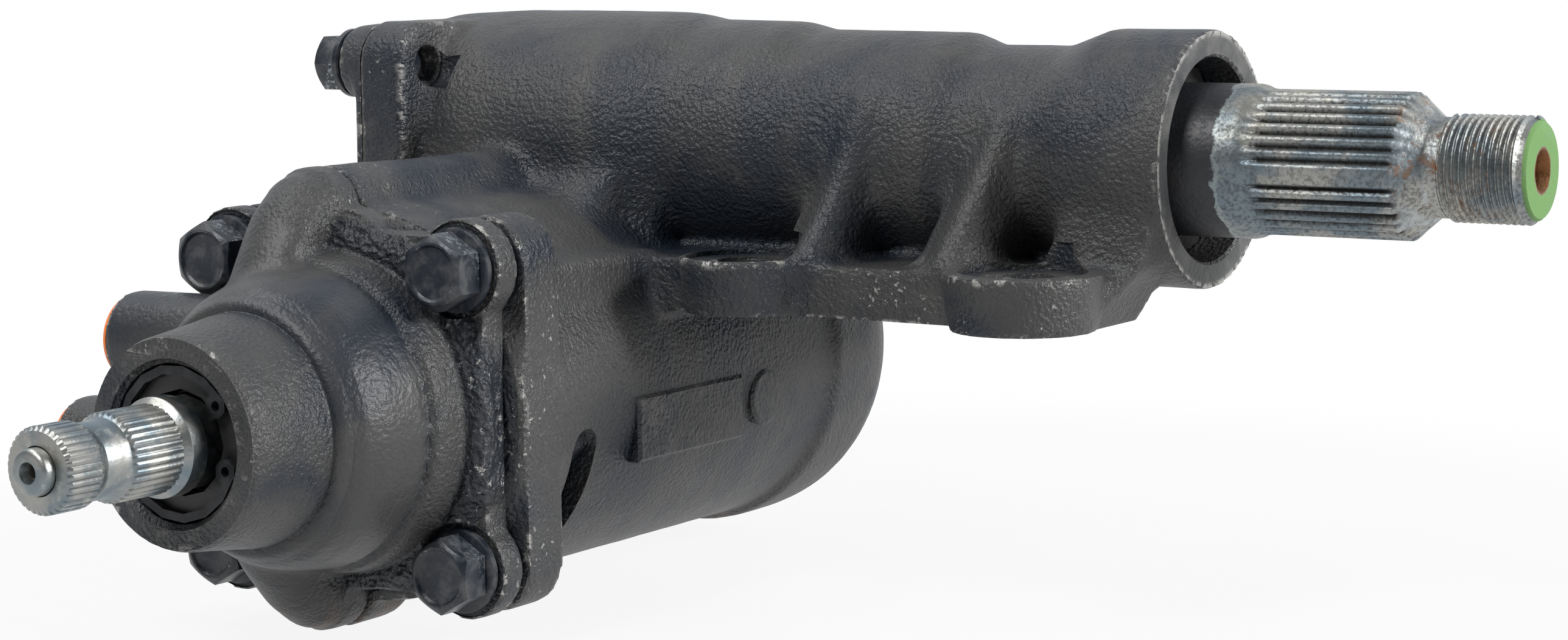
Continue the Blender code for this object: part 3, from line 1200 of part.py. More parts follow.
def worm_side_rings(steel, seal, teflon):
    """Bearings, seal, valve sleeve and rings round the worm's axis."""
    c = (0, 0, WORM_Z)
    start, end = POCKET_Y + GAP, FLANGE_JOINT_Y - 1.0 * MM - GAP
    race = 3.2 * MM
    ring("worm_bearing_outer_race", "Y", c, start, end, WORM_BEARING_R, WORM_BEARING_R - race, steel)
    ring("worm_bearing_inner_race", "Y", c, start, end, WORM_JOURNAL_R + GAP + race, WORM_JOURNAL_R + GAP, steel,
         hung=WORM_AXIS)
    part("worm_bearing_cage", bearing_cage(start, end, race), steel)
    retainer_start = FLANGE_JOINT_Y - 0.4 * MM + GAP
    ring("worm_bearing_retainer", "Y", c, retainer_start, FLANGE_JOINT_Y + SPIGOT_DEPTH - 0.5 * MM,
         WORM_BEARING_R + 2 * MM - GAP, WORM_SHOULDER_R + 1 * MM, steel)
    ring("input_needle_bearing", "Y", c, NOSE_Y + SEAL_BORE_DEPTH + GAP, SLEEVE_BORE_END_Y,
         INPUT_BEARING_R - GAP, INPUT_JOURNAL_R + GAP, steel)
    ring("input_oil_seal", "Y", c, NOSE_Y + 3.2 * MM, NOSE_Y + SEAL_BORE_DEPTH - GAP,
         SEAL_BORE_R - GAP, INPUT_COLLAR_R + GAP, seal, lip=1.4 * MM)
    ring_y = FLANGE_JOINT_Y + SPIGOT_DEPTH / 2
    ring("housing_o_ring", "Y", c, ring_y - 1.0 * MM, ring_y + 1.0 * MM,
         BARREL_BORE_R - GAP, BARREL_BORE_R - 2.1 * MM, seal, "big")
    ring("piston_ring", "Y", c, RING_GROOVE_Y[0] + GAP, RING_GROOVE_Y[1] - GAP,
         PISTON_R, PISTON_R - RING_GROOVE_DEPTH + GAP, teflon, "big", hung=PISTON_AXIS)


def bearing_cage(start, end, race):
    """The worm bearing's ball cage: a ring with a ball in each pocket, all touching."""
    middle_r = (WORM_BEARING_R + WORM_JOURNAL_R + GAP) / 2
    ball_r = middle_r - WORM_JOURNAL_R - GAP - race - GAP
    middle_y = (start + end) / 2
    cage = turned("cage_ring", "Y", (
        (middle_y - 3.5 * MM, middle_r + 0.7 * MM),
        (middle_y + 3.5 * MM, middle_r + 0.7 * MM),
        (middle_y + 3.5 * MM, middle_r - 0.7 * MM),
        (middle_y - 3.5 * MM, middle_r - 0.7 * MM),
    ), "fine", (0, 0, WORM_Z), hollow=True)
    balls = []
    for u, v in arc((0, 0), middle_r, 0, 360 - 360 / CAGE_BALLS, CAGE_BALLS):
        bm = bmesh.new()
        bmesh.ops.create_uvsphere(bm, u_segments=5, v_segments=4, radius=ball_r)
        balls.append(mesh_object("cage_ball", bm, Matrix.Translation((u, middle_y, WORM_Z + v))))
    return join(cage, balls)


CAGE_BALLS = 8


def valve_sleeve(steel, teflon):
    """The ported sleeve on the worm's nose, and its four ring seals."""
    start, end = SLEEVE_BORE_END_Y + 0.8 * MM, POCKET_Y - 0.8 * MM
    profile = [(start, SLEEVE_R)]
    for y in SLEEVE_RING_Y:
        profile += [(y - 1.3 * MM, SLEEVE_R), (y - 1.3 * MM, SLEEVE_R - 1.6 * MM),
                    (y + 1.3 * MM, SLEEVE_R - 1.6 * MM), (y + 1.3 * MM, SLEEVE_R)]
    bore_r = outside(SPOOL_R + GAP, ROUND["fine"])
    profile += [(end, SLEEVE_R), (end, bore_r), (start, bore_r)]
    body = turned("sleeve_form", "Y", profile, "fine", (0, 0, WORM_Z), hollow=True)
    cutters = []
    for y, _ in PORTS:
        for axis_turn in (0, 90):
            drill = rod("sleeve_port", "X", -30 * MM, 30 * MM, 1.8 * MM, steps=6)
            drill.matrix_basis = (Matrix.Translation((0, y, WORM_Z))
                                  @ Matrix.Rotation(math.radians(axis_turn), 4, "Y") @ drill.matrix_basis)
            cutters.append(drill)
    cut(body, cutters)
    part("valve_sleeve", body, steel, WORM_AXIS)
    for i, y in enumerate(SLEEVE_RING_Y):
        ring(f"sleeve_ring_{i + 1}", "Y", (0, 0, WORM_Z), y - 1.0 * MM, y + 1.0 * MM,
             SLEEVE_R, SLEEVE_R - 1.3 * MM, teflon, hung=WORM_AXIS)


SLEEVE_RING_Y = (-133.8 * MM, -124.2 * MM, -119.6 * MM, -108.4 * MM)


def input_circlip(finish):
    """The internal circlip in front of the seal: an open ring with an eyed lug at each end."""
    outer, inner = SEAL_BORE_R - GAP, SEAL_BORE_R - 2.1 * MM
    first, last = CLIP_LUGS
    outline = arc((0, 0), outer, last, first + 360, 15) + arc((0, 0), inner, first + 360, last, 15)
    start = NOSE_Y + 1.4 * MM
    body = prism("clip_ring", "Y", outline, start, start + CLIP_T)
    body.matrix_basis = Matrix.Translation((0, 0, WORM_Z)) @ body.matrix_basis
    lugs, holes = [], []
    for angle in CLIP_LUGS:
        reach = inner - 0.6 * MM
        x, z = reach * math.cos(math.radians(angle)), reach * math.sin(math.radians(angle))
        lugs.append(rod("clip_lug", "Y", start, start + CLIP_T, 2.6 * MM, (x, 0, WORM_Z + z), steps=8))
        holes.append(rod("clip_eye", "Y", start - 1 * MM, start + 3 * MM, 1.0 * MM, (x, 0, WORM_Z + z), steps=8))
    join(body, lugs)
    cut(body, holes)
    return part("input_circlip", body, finish)


CLIP_LUGS = (-20, 38)
CLIP_T = 1.3 * MM


def bolt(name, axis, seat, length, thread_r, across_flats, head, centre, finish, dished=False):
    """A hexagon bolt with its head on the low side of its seat, bevelled by a cone."""
    top = seat - head
    body = prism(name + "_hex", axis, hexagon(across_flats), top, seat)
    body.matrix_basis = Matrix.Translation(centre) @ body.matrix_basis
    corner = across_flats / math.sqrt(3)
    bevel = turned(name + "_bevel", axis, (
        (top - 1 * MM, corner - 3.6 * MM),
        (top + 1.2 * MM, corner + 0.2 * MM),
        (seat + 1 * MM, corner + 1 * MM),
    ), "fine", centre)
    combine(body, "INTERSECT", [bevel])
    join(body, [rod(name + "_shank", axis, seat - 2 * MM, seat + length, thread_r, centre, steps=8)])
    if dished:
        cut(body, [rod(name + "_dish", axis, top - 1 * MM, top + 0.7 * MM, 0.38 * across_flats, centre, steps=8)])
    return part(name, body, finish)


def fasteners(black):
    """Four bolts with lock washers hold the valve housing, and four more the side cover."""
    for i, (x, z) in enumerate(valve_bolt_places()):
        face = VALVE_FLANGE_FRONT_Y + 0.5 * MM - GAP
        ring(f"valve_bolt_washer_{i + 1}", "Y", (x, 0, z), face - WASHER_T, face, M10_R + 3.9 * MM, M10_R + GAP, black, "coarse")
        seat = face - WASHER_T - GAP
        bolt(f"valve_bolt_{i + 1}", "Y", seat, 22 * MM, M10_R, M10_HEX, M10_HEAD, (x, 0, z), black, True)
    for i, (y, z) in enumerate(cover_bolt_places()):
        face = COVER_BACK_X - COVER_LUG_H - GAP
        ring(f"cover_bolt_washer_{i + 1}", "X", (0, y, z), face - WASHER_T, face, M8_R + 3.4 * MM, M8_R + GAP, black, "coarse")
        seat = face - WASHER_T - GAP
        bolt(f"cover_bolt_{i + 1}", "X", seat, 17 * MM, M8_R, M8_HEX, M8_HEAD, (0, y, z), black)


def adjuster(steel):
    """The lash screw: its head sits in the trunnion and its thread in the cover, under a lock nut."""
    head_start, head_end = ADJUSTER_HEAD_X
    body = turned("screw_form", "X", (
        (ADJUSTER_END_X, ADJUSTER_R - 0.8 * MM),
        (ADJUSTER_END_X + 1 * MM, ADJUSTER_R),
        (head_start, ADJUSTER_R),
        (head_start, ADJUSTER_R + 1.6 * MM),
        (head_end, ADJUSTER_R + 1.6 * MM),
    ), "coarse")
    cut(body, [block("screw_slot", (ADJUSTER_END_X - 1 * MM, -8 * MM, -0.6 * MM), (ADJUSTER_END_X + 2 * MM, 8 * MM, 0.6 * MM))])
    part("adjusting_screw", body, steel)
    nut_end = COVER_BOSS_X - GAP
    nut = prism("nut_form", "X", hexagon(13 * MM), nut_end - 5.5 * MM, nut_end)
    cut(nut, [rod("nut_hole", "X", nut_end - 8 * MM, nut_end + 2 * MM, ADJUSTER_R + GAP, steps=16)])
    part("adjuster_lock_nut", nut, steel)


def port_plugs(plastic):
    """Shipping plugs in the two hydraulic ports."""
    for i, (y, rise) in enumerate(PORTS):
        body = turned(f"plug_{i}", "X", (
            (PORT_X - 1.5 * MM, PORT_R - 2.2 * MM),
            (PORT_X - GAP, PORT_R - 0.6 * MM),
            (PORT_X - GAP, PORT_BORE_R - GAP),
            (PORT_X + 8 * MM, PORT_BORE_R - 0.8 * MM),
        ), "fine", (0, y, WORM_Z + rise))
        part(f"port_plug_{i + 1}", body, plastic)


clear_scene()
PIECES = collection("steering_gearbox")
HELPERS = collection("cutters")
FRAME = empty("sector_axis_frame", None, (-FACE_POINT_X, 0, FACE_DROP))
SECTOR_AXIS = empty("sector_axis", FRAME, (0, 0, 0))
PISTON_AXIS = empty("piston_axis", FRAME, (0, 0, WORM_Z))
WORM_AXIS = empty("worm_axis", FRAME, (0, 0, WORM_Z))
INPUT_AXIS = empty("input_axis", WORM_AXIS, (0, 0, 0))
CREASES = crease_nodes()


def main():
    cast_iron = material("black_cast_iron", (0.018, 0.020, 0.024), 0.42, 0.0)
    bare_steel = material("bare_steel", (0.46, 0.46, 0.45), 0.35, 1.0)
    hard_steel = material("hardened_steel", (0.36, 0.37, 0.38), 0.3, 1.0)
    black_steel = material("black_bolt_steel", (0.03, 0.032, 0.036), 0.4, 0.3)
    rubber = material("seal_rubber", (0.012, 0.012, 0.012), 0.6, 0.0)
    teflon = material("ring_plastic", (0.12, 0.09, 0.06), 0.5, 0.0)
    gasket = material("gasket_sheet", (0.10, 0.10, 0.09), 0.8, 0.0)
    plug = material("orange_plug", (0.72, 0.22, 0.05), 0.45, 0.0)

    gear_housing(cast_iron)
    valve_housing(cast_iron)
    side_cover(cast_iron)
    cover_gasket(gasket)
    sector_shaft(bare_steel)
    sector_rings(hard_steel, rubber)
    piston_nut(hard_steel)
    return_guide(hard_steel)
    guide_clamp(hard_steel)
    ball_train(hard_steel)
    worm_screw(hard_steel)
    valve_sleeve(hard_steel, teflon)
    input_shaft(bare_steel)
    torsion_bar(bare_steel)
    pins(hard_steel)
    worm_side_rings(hard_steel, rubber, teflon)
    input_circlip(black_steel)
    adjuster(hard_steel)
    fasteners(black_steel)
    port_plugs(plug)
    switch_booleans_on()


main()
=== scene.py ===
"""Steering gearbox, dressed for a studio picture.

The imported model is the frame. The pieces that show are modelled again over their nodes, and
the inner ones keep their shape and get a finish.
Points are in millimetres from where the sector's axis passes over the worm's: X runs along
the output shaft, Y along the worm and Z up. at() turns them into the part's own frame.
"""

import json
import math

import bpy
from mathutils import Matrix, Vector


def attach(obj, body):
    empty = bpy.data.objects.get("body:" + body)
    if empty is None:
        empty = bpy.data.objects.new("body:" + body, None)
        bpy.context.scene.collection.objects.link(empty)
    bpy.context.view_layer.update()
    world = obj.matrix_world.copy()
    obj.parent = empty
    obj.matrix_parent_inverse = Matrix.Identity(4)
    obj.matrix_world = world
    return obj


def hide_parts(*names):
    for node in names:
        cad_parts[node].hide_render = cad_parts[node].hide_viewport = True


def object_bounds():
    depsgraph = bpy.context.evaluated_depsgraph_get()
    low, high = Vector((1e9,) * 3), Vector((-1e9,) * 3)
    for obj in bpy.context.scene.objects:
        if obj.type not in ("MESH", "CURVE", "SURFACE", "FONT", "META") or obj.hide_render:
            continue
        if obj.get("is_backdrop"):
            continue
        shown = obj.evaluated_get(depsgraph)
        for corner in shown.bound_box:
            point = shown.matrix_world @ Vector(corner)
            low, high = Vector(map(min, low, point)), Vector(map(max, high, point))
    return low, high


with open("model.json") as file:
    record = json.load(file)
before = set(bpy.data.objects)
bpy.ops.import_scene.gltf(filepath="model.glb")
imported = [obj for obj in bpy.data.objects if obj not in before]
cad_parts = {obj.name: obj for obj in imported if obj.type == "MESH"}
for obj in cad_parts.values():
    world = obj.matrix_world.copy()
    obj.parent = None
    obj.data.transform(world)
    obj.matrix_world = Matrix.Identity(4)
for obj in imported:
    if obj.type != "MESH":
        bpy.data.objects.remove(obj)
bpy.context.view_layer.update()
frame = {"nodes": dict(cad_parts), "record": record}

bl_info = {
    "name": "Steering Gearbox",
    "version": (1, 0, 0),
    "blender": (4, 5, 0),
    "location": "View3D > Sidebar > Gearbox",
    "description": "Cast housings, splined shafts, bolts and finishes of a steering gearbox",
    "category": "Object",
}

MM = 0.001
ORIGIN = Vector((-88 * MM, 0, 33 * MM))
WORM_Z = -51.0
PASSAGE_X = -9.3
BOLT_X, BOLT_Z = 30.9, 31.2
COVER_BOLTS = ((-30, 18.4), (-30, -24.5), (30, 18.4), (30, -24.5))
VALVE_BOLTS = tuple((x, WORM_Z + z) for x in (-BOLT_X, BOLT_X) for z in (BOLT_Z, -BOLT_Z))
MOUNT_HOLES = ((128.8, -38.9), (60.5, -37.0), (83.0, 38.0))
PORTS = ((-114.5, 14.4), (-130.2, -6.1))
MOUNT_HOLE_R, SPOT_FACE_R = 6.5, 13.35
BARREL_BORE_R, SECTOR_OPENING_R, SECTOR_SWEEP_R = 36.3, 24.5, 28.87
VALVE_BOLT_HOLE_R, COVER_BOLT_HOLE_R = 5.3, 4.2
TUBE_BORE = (
    (18, 21.5), (42, 21.5), (42, 19.6), (106, 19.6), (106, 20.5), (128, 20.5), (128, 21.5), (152.4, 21.5),
    (153.1, 22.2), (156, 22.2),
)
SPLINE_PLACES, MASTER_EVERY, SPLINE_SIDES = 32, 8, 256
THREAD_TURNS = 11
SERRATIONS = 36
SAND_LAYERS = ((0.011, 1.0), (0.0045, 0.6))
CAMERA_PLACE = (0.351416, -0.616789, 0.081976)
CAMERA_HEADING, CAMERA_RISE, CAMERA_ROLL = (math.radians(a) for a in (32.52, 6.93, -0.51))
CAMERA_LENS, SENSOR_WIDTH = 74.07, 36
FACE = {"X": (0, math.pi / 2, 0), "Y": (math.pi / 2, 0, 0), "Z": (0, 0, 0)}


def at(x, y, z):
    return Vector((x, y, z)) * MM + ORIGIN


def tint(name, words, default):
    return bpy.props.FloatVectorProperty(
        name=name, description=words, default=default, subtype="COLOR", size=3, min=0, max=1
    )


def length(name, words, default):
    return bpy.props.FloatProperty(name=name, description=words, default=default, unit="LENGTH", min=0)


class GearboxSizes(bpy.types.PropertyGroup):
    tube_end_radius: length("Tube end radius", "Outer radius of the boss round the output seal", 0.0272)
    barrel_radius: length("Barrel radius", "Outer radius of the worm's barrel", 0.0422)
    nose_radius: length("Nose radius", "Outer radius of the round nose at the input", 0.0216)
    spline_radius: length("Spline radius", "Outer radius of the output spline", 0.0151)
    spline_depth: length("Spline depth", "Depth of one V groove of the output spline", 0.0013)
    thread_radius: length("Thread radius", "Outer radius of the output thread", 0.011)
    thread_pitch: length("Thread pitch", "Distance from one thread to the next", 0.0015)
    serration_depth: length("Serration depth", "Depth of the input shaft's serrations", 0.0007)
    cast_grain: length("Cast grain", "Height of the sand's lumps in the castings", 0.00016)
    voxel: length("Skin step", "Spacing of the points on a cast skin", 0.0013)


class GearboxColours(bpy.types.PropertyGroup):
    paint: tint("Paint", "Satin black paint on the castings", (0.043, 0.043, 0.043))
    # Bluish black: darker paint in random patches, and painted shade in hollows, on the tube's bands and in
    # the flange valley.
    dark_paint_and_shade: tint("Dark paint and painted shade", "Bluish black of darker paint, also painted as shade in hollows, bands and the valley", (0.010, 0.015, 0.024))
    paint_worn: tint("Worn paint", "Warm grey where the paint is rubbed thin", (0.085, 0.082, 0.076))
    chip: tint("Chipped edge", "Light metal under chipped paint", (0.42, 0.41, 0.39))
    steel: tint("Bare steel", "Machined steel of the shafts", (0.36, 0.36, 0.34))
    steel_blue: tint("Steel, blue cast", "Bluish passivation of the bare steel", (0.17, 0.21, 0.235))
    rust: tint("Rust", "Brown rust on bare steel and chips", (0.19, 0.085, 0.035))
    grime: tint("Grime", "Dark dirt in the grooves", (0.025, 0.024, 0.022))
    marker: tint("Marker paint", "Green paint on the output shaft's end", (0.11, 0.24, 0.06))
    plug: tint("Port plug", "Orange plastic of the shipping plugs", (0.85, 0.20, 0.03))
    backdrop: tint("Backdrop", "Floor and background", (0.45, 0.45, 0.45))


# Materials


class Number:
    """A value that changes over a surface. Arithmetic on it adds Math nodes."""

    def __init__(self, finish, socket):
        self.finish, self.socket = finish, socket

    def _operation(name, swapped=False):
        def method(self, other):
            values = (other, self) if swapped else (self, other)
            return self.finish.node("Math", {"operation": name}, dict(enumerate(values)))

        return method

    __add__ = __radd__ = _operation("ADD")
    __mul__ = __rmul__ = _operation("MULTIPLY")
    __sub__, __rsub__ = _operation("SUBTRACT"), _operation("SUBTRACT", swapped=True)
    __truediv__, __pow__ = _operation("DIVIDE"), _operation("POWER")
    least, most = _operation("MINIMUM"), _operation("MAXIMUM")

    def ramp(self, low, high):
        """0 at low, 1 at high and smooth between."""
        return self.finish.node(
            "MapRange", {"interpolation_type": "SMOOTHSTEP"},
            {"Value": self, "From Min": low, "From Max": high}
        )


class Finish:
    """A node material, built one node at a time."""

    def __init__(self, name, **fixed):
        self.material = bpy.data.materials.new(name)
        self.material.use_nodes = True
        self.tree = self.material.node_tree
        self.shader = self.tree.nodes["Principled BSDF"]
        for socket, value in fixed.items():
            self.shader.inputs[socket.replace("_", " ")].default_value = value
        self.place = self.node("TexCoord", out="Object")

    def node(self, kind, settings=None, inputs=None, out=0):
        made = self.tree.nodes.new("ShaderNode" + kind)
        for key, value in (settings or {}).items():
            setattr(made, key, value)
        for key, value in (inputs or {}).items():
            self.feed(made.inputs[key], value)
        return Number(self, made.outputs[out])

    def feed(self, socket, value):
        if isinstance(value, Number):
            self.tree.links.new(value.socket, socket)
        elif socket.type == "RGBA" and len(value) == 3:
            socket.default_value = (*value, 1)
        else:
            socket.default_value = value

    def noise(self, scale, detail=3.0, roughness=0.55, warp=0.0, stretch=None):
        place = self.place
        if stretch:
            place = self.node("Mapping", {}, {"Vector": place, "Scale": stretch})
        return self.node(
            "TexNoise", {},
            {"Vector": place, "Scale": scale, "Detail": detail, "Roughness": roughness, "Distortion": warp}
        )

    def mix(self, factor, low, high):
        return self.node("Mix", {"data_type": "RGBA"}, {0: factor, 6: low, 7: high}, 2)

    def along(self, axis):
        """Millimetres along an axis, from where the two shafts' axes cross."""
        place = self.node("SeparateXYZ", {}, {0: self.place}, "XYZ".index(axis))
        return (place - ORIGIN["XYZ".index(axis)]) / MM

    def edges(self, low, high):
        """1 on sharp outer edges."""
        return self.node("NewGeometry", out="Pointiness").ramp(low, high)

    def bump(self, height, distance, strength=1.0, under=None):
        inputs = {"Height": height, "Distance": distance, "Strength": strength}
        if under:
            inputs["Normal"] = under
        return self.node("Bump", {}, inputs)

    def set(self, **values):
        for socket, value in values.items():
            self.feed(self.shader.inputs[socket.replace("_", " ")], value)
        return self.material


def distance_from(finish, axis, across, up):
    """Millimetres from a line along an axis through a point (across, up)."""
    a, b = [k for k in "XYZ" if k != axis]
    u, v = finish.along(a) - across, finish.along(b) - up
    return (u * u + v * v) ** 0.5


def cast_paint(colours):
    """Satin black paint over sand-cast iron, chipped at the rims, with painted shade in its hollows, on the
    tube's bands and in the flange valley.
    """
    f = Finish("black_casting_paint", IOR=1.5)
    grain = f.noise(2300, 2.0, 0.6)
    sand = f.noise(1050, 2.0, 0.5)
    lumps = f.noise(330, 2.0, 0.5)
    clouds = f.noise(28, 3.0, 0.55, 0.6)
    patch = f.noise(60, 4.0, 0.6, 0.3)
    colour = f.mix(clouds.ramp(0.33, 0.56), colours.dark_paint_and_shade, colours.paint)
    # Painted shade: concave places are darkened towards the bluish black.
    hollow_shade = 1 - f.node("NewGeometry", out="Pointiness").ramp(0.44, 0.495)
    colour = f.mix(hollow_shade * 0.8, colour, colours.dark_paint_and_shade)
    colour = f.mix(patch.ramp(0.52, 0.72) * 0.35, colour, colours.paint_worn)
    rubbed = f.edges(0.515, 0.56) * f.noise(300, 3.0).ramp(0.42, 0.62)
    colour = f.mix(rubbed * 0.35, colour, colours.paint_worn)
    x, y, z = (f.along(k) for k in "XYZ")
    # Painted shade and dark reflection: bluish black bands on the tube's near side where its radius steps
    # down.
    sway = x + z * 0.12 + f.noise(55, 3.0) * 6 - 3
    bands = sway.ramp(13, 19) * (1 - sway.ramp(30, 37)) + sway.ramp(51, 55) * (1 - sway.ramp(59, 65))
    shade_bands = bands * (1 - y.ramp(-26, -17)) * z.ramp(-24, -18) * y.ramp(-44, -40)
    colour = f.mix(shade_bands * 0.85, colour, colours.dark_paint_and_shade)
    ring = distance_from(f, "Y", 0, WORM_Z)
    valley = ring.ramp(33.5, 35.5) * (1 - ring.ramp(39, 41.5)) * y.ramp(-104, -101) * (1 - y.ramp(-93, -91))
    # Painted shade in the valley between the valve dome and the flange; the same mask also places bumps and
    # flecks.
    colour = f.mix(valley * 0.7, colour, colours.dark_paint_and_shade)
    flange = y.ramp(-101.5, -100) * (1 - y.ramp(-79, -77))
    cover = 1 - x.ramp(-32, -30)
    nose = 1 - y.ramp(-151.8, -150.5)
    ledge = (1 - y.ramp(-40.5, -37.5)) * y.ramp(-62, -58) * x.ramp(42, 46)
    boss = x.ramp(150.2, 152.2)
    where = (flange * 0.9).most(cover).most(nose).most(ledge).most(boss)
    flakes = f.noise(260, 5.0, 0.7, 0.4).ramp(0.53, 0.57)
    chipped = f.edges(0.52, 0.56) * flakes * where
    speckle = f.noise(700, 2.0, 0.5).ramp(0.66, 0.7) * f.noise(70, 2.0).ramp(0.5, 0.6) * where
    flecks = f.noise(420, 4.0, 0.7).ramp(0.62, 0.66) * valley * x.ramp(20, 28)
    chips = chipped.most(speckle * 0.8).most(flecks * 0.8)
    colour = f.mix(chips, colour, colours.chip)
    stain = (1 - z.ramp(-101, -88)) * f.noise(130, 4.0, 0.6).ramp(0.5, 0.64)
    colour = f.mix(stain * 0.5, colour, colours.rust)
    rough = patch * 0.2 + 0.3 + grain * 0.12
    dome = y.ramp(-134, -131) * (1 - y.ramp(-113, -111)) * 0.6
    knobs = f.bump(f.noise(230, 2.0, 0.6) * valley, 0.0035, 1.0, f.bump(lumps, 0.0005, 0.45))
    relief = f.bump(sand.ramp(0.25, 0.75) * 0.8 + grain * 0.2, 0.00032, 0.95 - dome, knobs)
    return f.set(Base_Color=colour, Roughness=rough + chips * 0.1, Metallic=chips * 0.7, Normal=relief)


def machined_ring(colours):
    """Turned iron faces: thin grey paint over tool marks, with a scratched rim."""
    f = Finish("machined_iron_face", IOR=1.5)
    r = distance_from(f, "X", 0, 0)
    marks = f.node("TexWave", {"wave_type": "RINGS", "rings_direction": "SPHERICAL"},
        {"Vector": f.place, "Scale": 900, "Distortion": 6.0, "Detail": 2.0}, "Fac")
    patch = f.noise(90, 4.0, 0.6)
    colour = f.mix(patch.ramp(0.4, 0.65), (0.04, 0.041, 0.042), (0.11, 0.11, 0.106))
    scratch = f.noise(320, 5.0, 0.7, 0.6).ramp(0.44, 0.52) * r.ramp(25.4, 26.6)
    colour = f.mix(scratch, colour, colours.chip)
    relief = f.bump(marks, 0.00006, 0.5, f.bump(f.noise(500, 3.0), 0.0002, 0.5))
    return f.set(Base_Color=colour, Roughness=patch * 0.2 + 0.36, Metallic=scratch * 0.7 + 0.1,
        Normal=relief)


def shaft_steel(colours):
    """Bare machined steel of the output shaft: painted land, grimy spline, rusty thread, green end."""
    f = Finish("output_shaft_steel", IOR=1.6)
    x = f.along("X")
    r = distance_from(f, "X", 0, 0)
    tone = f.noise(70, 3.0, 0.55, 0.5)
    streak = f.noise(240, 3.0, 0.6, 0.0, (0.15, 1, 1))
    colour = f.mix(tone.ramp(0.38, 0.62), colours.steel_blue, colours.steel)
    yellow = f.noise(110, 2.0).ramp(0.56, 0.68) * 0.5
    colour = f.mix(yellow * 0.6, colour, (0.50, 0.46, 0.36))
    grooves = (1 - r.ramp(13.9, 14.9)) * x.ramp(166, 169) * (1 - x.ramp(197.6, 198.6))
    speckle = f.noise(1300, 3.0, 0.6).ramp(0.44, 0.66)
    dirt = grooves * 0.8 + streak.ramp(0.5, 0.72) * 0.25 + speckle * 0.45
    colour = f.mix(dirt.least(1.0), colour, colours.grime)
    threads = x.ramp(205, 206) * (1 - r.ramp(10.3, 10.8)) * (1 - x.ramp(214, 220))
    rusty_at = x.ramp(196.5, 198.5) * (1 - x.ramp(206, 208)) + threads
    rust = f.noise(190, 5.0, 0.7, 0.4).ramp(0.54, 0.64) * rusty_at
    colour = f.mix(rust * 0.7, colour, colours.rust)
    pale = f.noise(210, 4.0, 0.6).ramp(0.5, 0.66) * x.ramp(196.8, 197.8) * (1 - x.ramp(203.2, 204.0))
    colour = f.mix(pale * 0.5, colour, (0.50, 0.55, 0.57))
    ragged = x + f.noise(150, 5.0, 0.7) * 7
    flaked = 1 - ragged.ramp(164.2, 164.8)
    colour = f.mix(flaked * 0.5, colour, (0.32, 0.36, 0.36))
    painted = 1 - ragged.ramp(163.2, 163.7)
    colour = f.mix(painted, colour, (0.006, 0.007, 0.010))
    end = x.ramp(223.2, 223.6)
    hole = 1 - (r + f.noise(500, 3.0) * 0.9).ramp(4.9, 5.4)
    green = end * (1 - hole) * f.noise(240, 3.0).ramp(0.24, 0.36)
    colour = f.mix(green, colour, colours.marker)
    colour = f.mix(hole * x.ramp(210, 212), colour, colours.rust)
    metal = (1 - painted) * (1 - green) * (1 - rust * 0.8) * (1 - dirt.least(1.0) * 0.6)
    rough = tone * 0.18 + 0.4 + rust * 0.3 + green * 0.15 + speckle * 0.1
    relief = f.bump(f.noise(900, 3.0) + rust * 0.8, 0.0002, 0.6)
    return f.set(Base_Color=colour, Roughness=rough, Metallic=metal, Normal=relief)


def input_steel(colours):
    """Bare bluish steel of the serrated input shaft."""
    f = Finish("input_shaft_steel", IOR=2.0)
    y = f.along("Y")
    r = distance_from(f, "Y", 0, WORM_Z)
    tone = f.noise(110, 3.0, 0.55, 0.4)
    colour = f.mix(tone.ramp(0.36, 0.64), colours.steel_blue, colours.steel)
    blotch = f.noise(260, 4.0, 0.6).ramp(0.55, 0.7)
    colour = f.mix(blotch * 0.5, colour, (0.62, 0.62, 0.56))
    front = (1 - r.ramp(7.9, 8.4)) * y.ramp(-188.2, -187.4) * (1 - y.ramp(-179.6, -179))
    rear = (1 - r.ramp(8.3, 8.8)) * y.ramp(-171.4, -170.6) * (1 - y.ramp(-158.4, -157.8))
    dirt = (front + rear).least(1.0) * 0.7
    colour = f.mix(dirt, colour, colours.grime)
    rust = f.noise(330, 5.0, 0.65).ramp(0.6, 0.72)
    colour = f.mix(rust * 0.35, colour, colours.rust)
    relief = f.bump(f.noise(1100, 3.0), 0.00012, 0.5)
    return f.set(Base_Color=colour, Roughness=tone * 0.14 + 0.34 + dirt * 0.2 + rust * 0.2,
                 Metallic=1 - dirt * 0.6 - rust * 0.3, Normal=relief)


def bolt_paint(colours):
    """Black paint on forged bolts and washers, worn on the rims."""
    f = Finish("black_bolt_paint", IOR=1.5)
    patch = f.noise(220, 4.0, 0.6, 0.3)
    colour = f.mix(patch.ramp(0.4, 0.66), colours.dark_paint_and_shade, (0.07, 0.073, 0.078))
    worn = f.edges(0.56, 0.64) * f.noise(900, 4.0, 0.7).ramp(0.5, 0.58)
    colour = f.mix(worn * 0.7, colour, (0.36, 0.40, 0.44))
    relief = f.bump(f.noise(900, 3.0, 0.6), 0.00016, 0.6)
    return f.set(Base_Color=colour, Roughness=patch * 0.22 + 0.3, Metallic=worn * 0.7 + 0.15, Normal=relief)


def plain_finish(name, patches, dark, light, rough, grain, **fixed):
    """Soft patches between two colours, over a fine grain of (scale, detail, distance, strength)."""
    f = Finish(name, **fixed)
    tone = f.noise(patches[0])
    colour = f.mix(tone.ramp(0.35, patches[1]), dark, light)
    relief = f.bump(f.noise(grain[0], grain[1]), grain[2], grain[3])
    return f.set(Base_Color=colour, Roughness=tone * rough[0] + rough[1], Normal=relief)


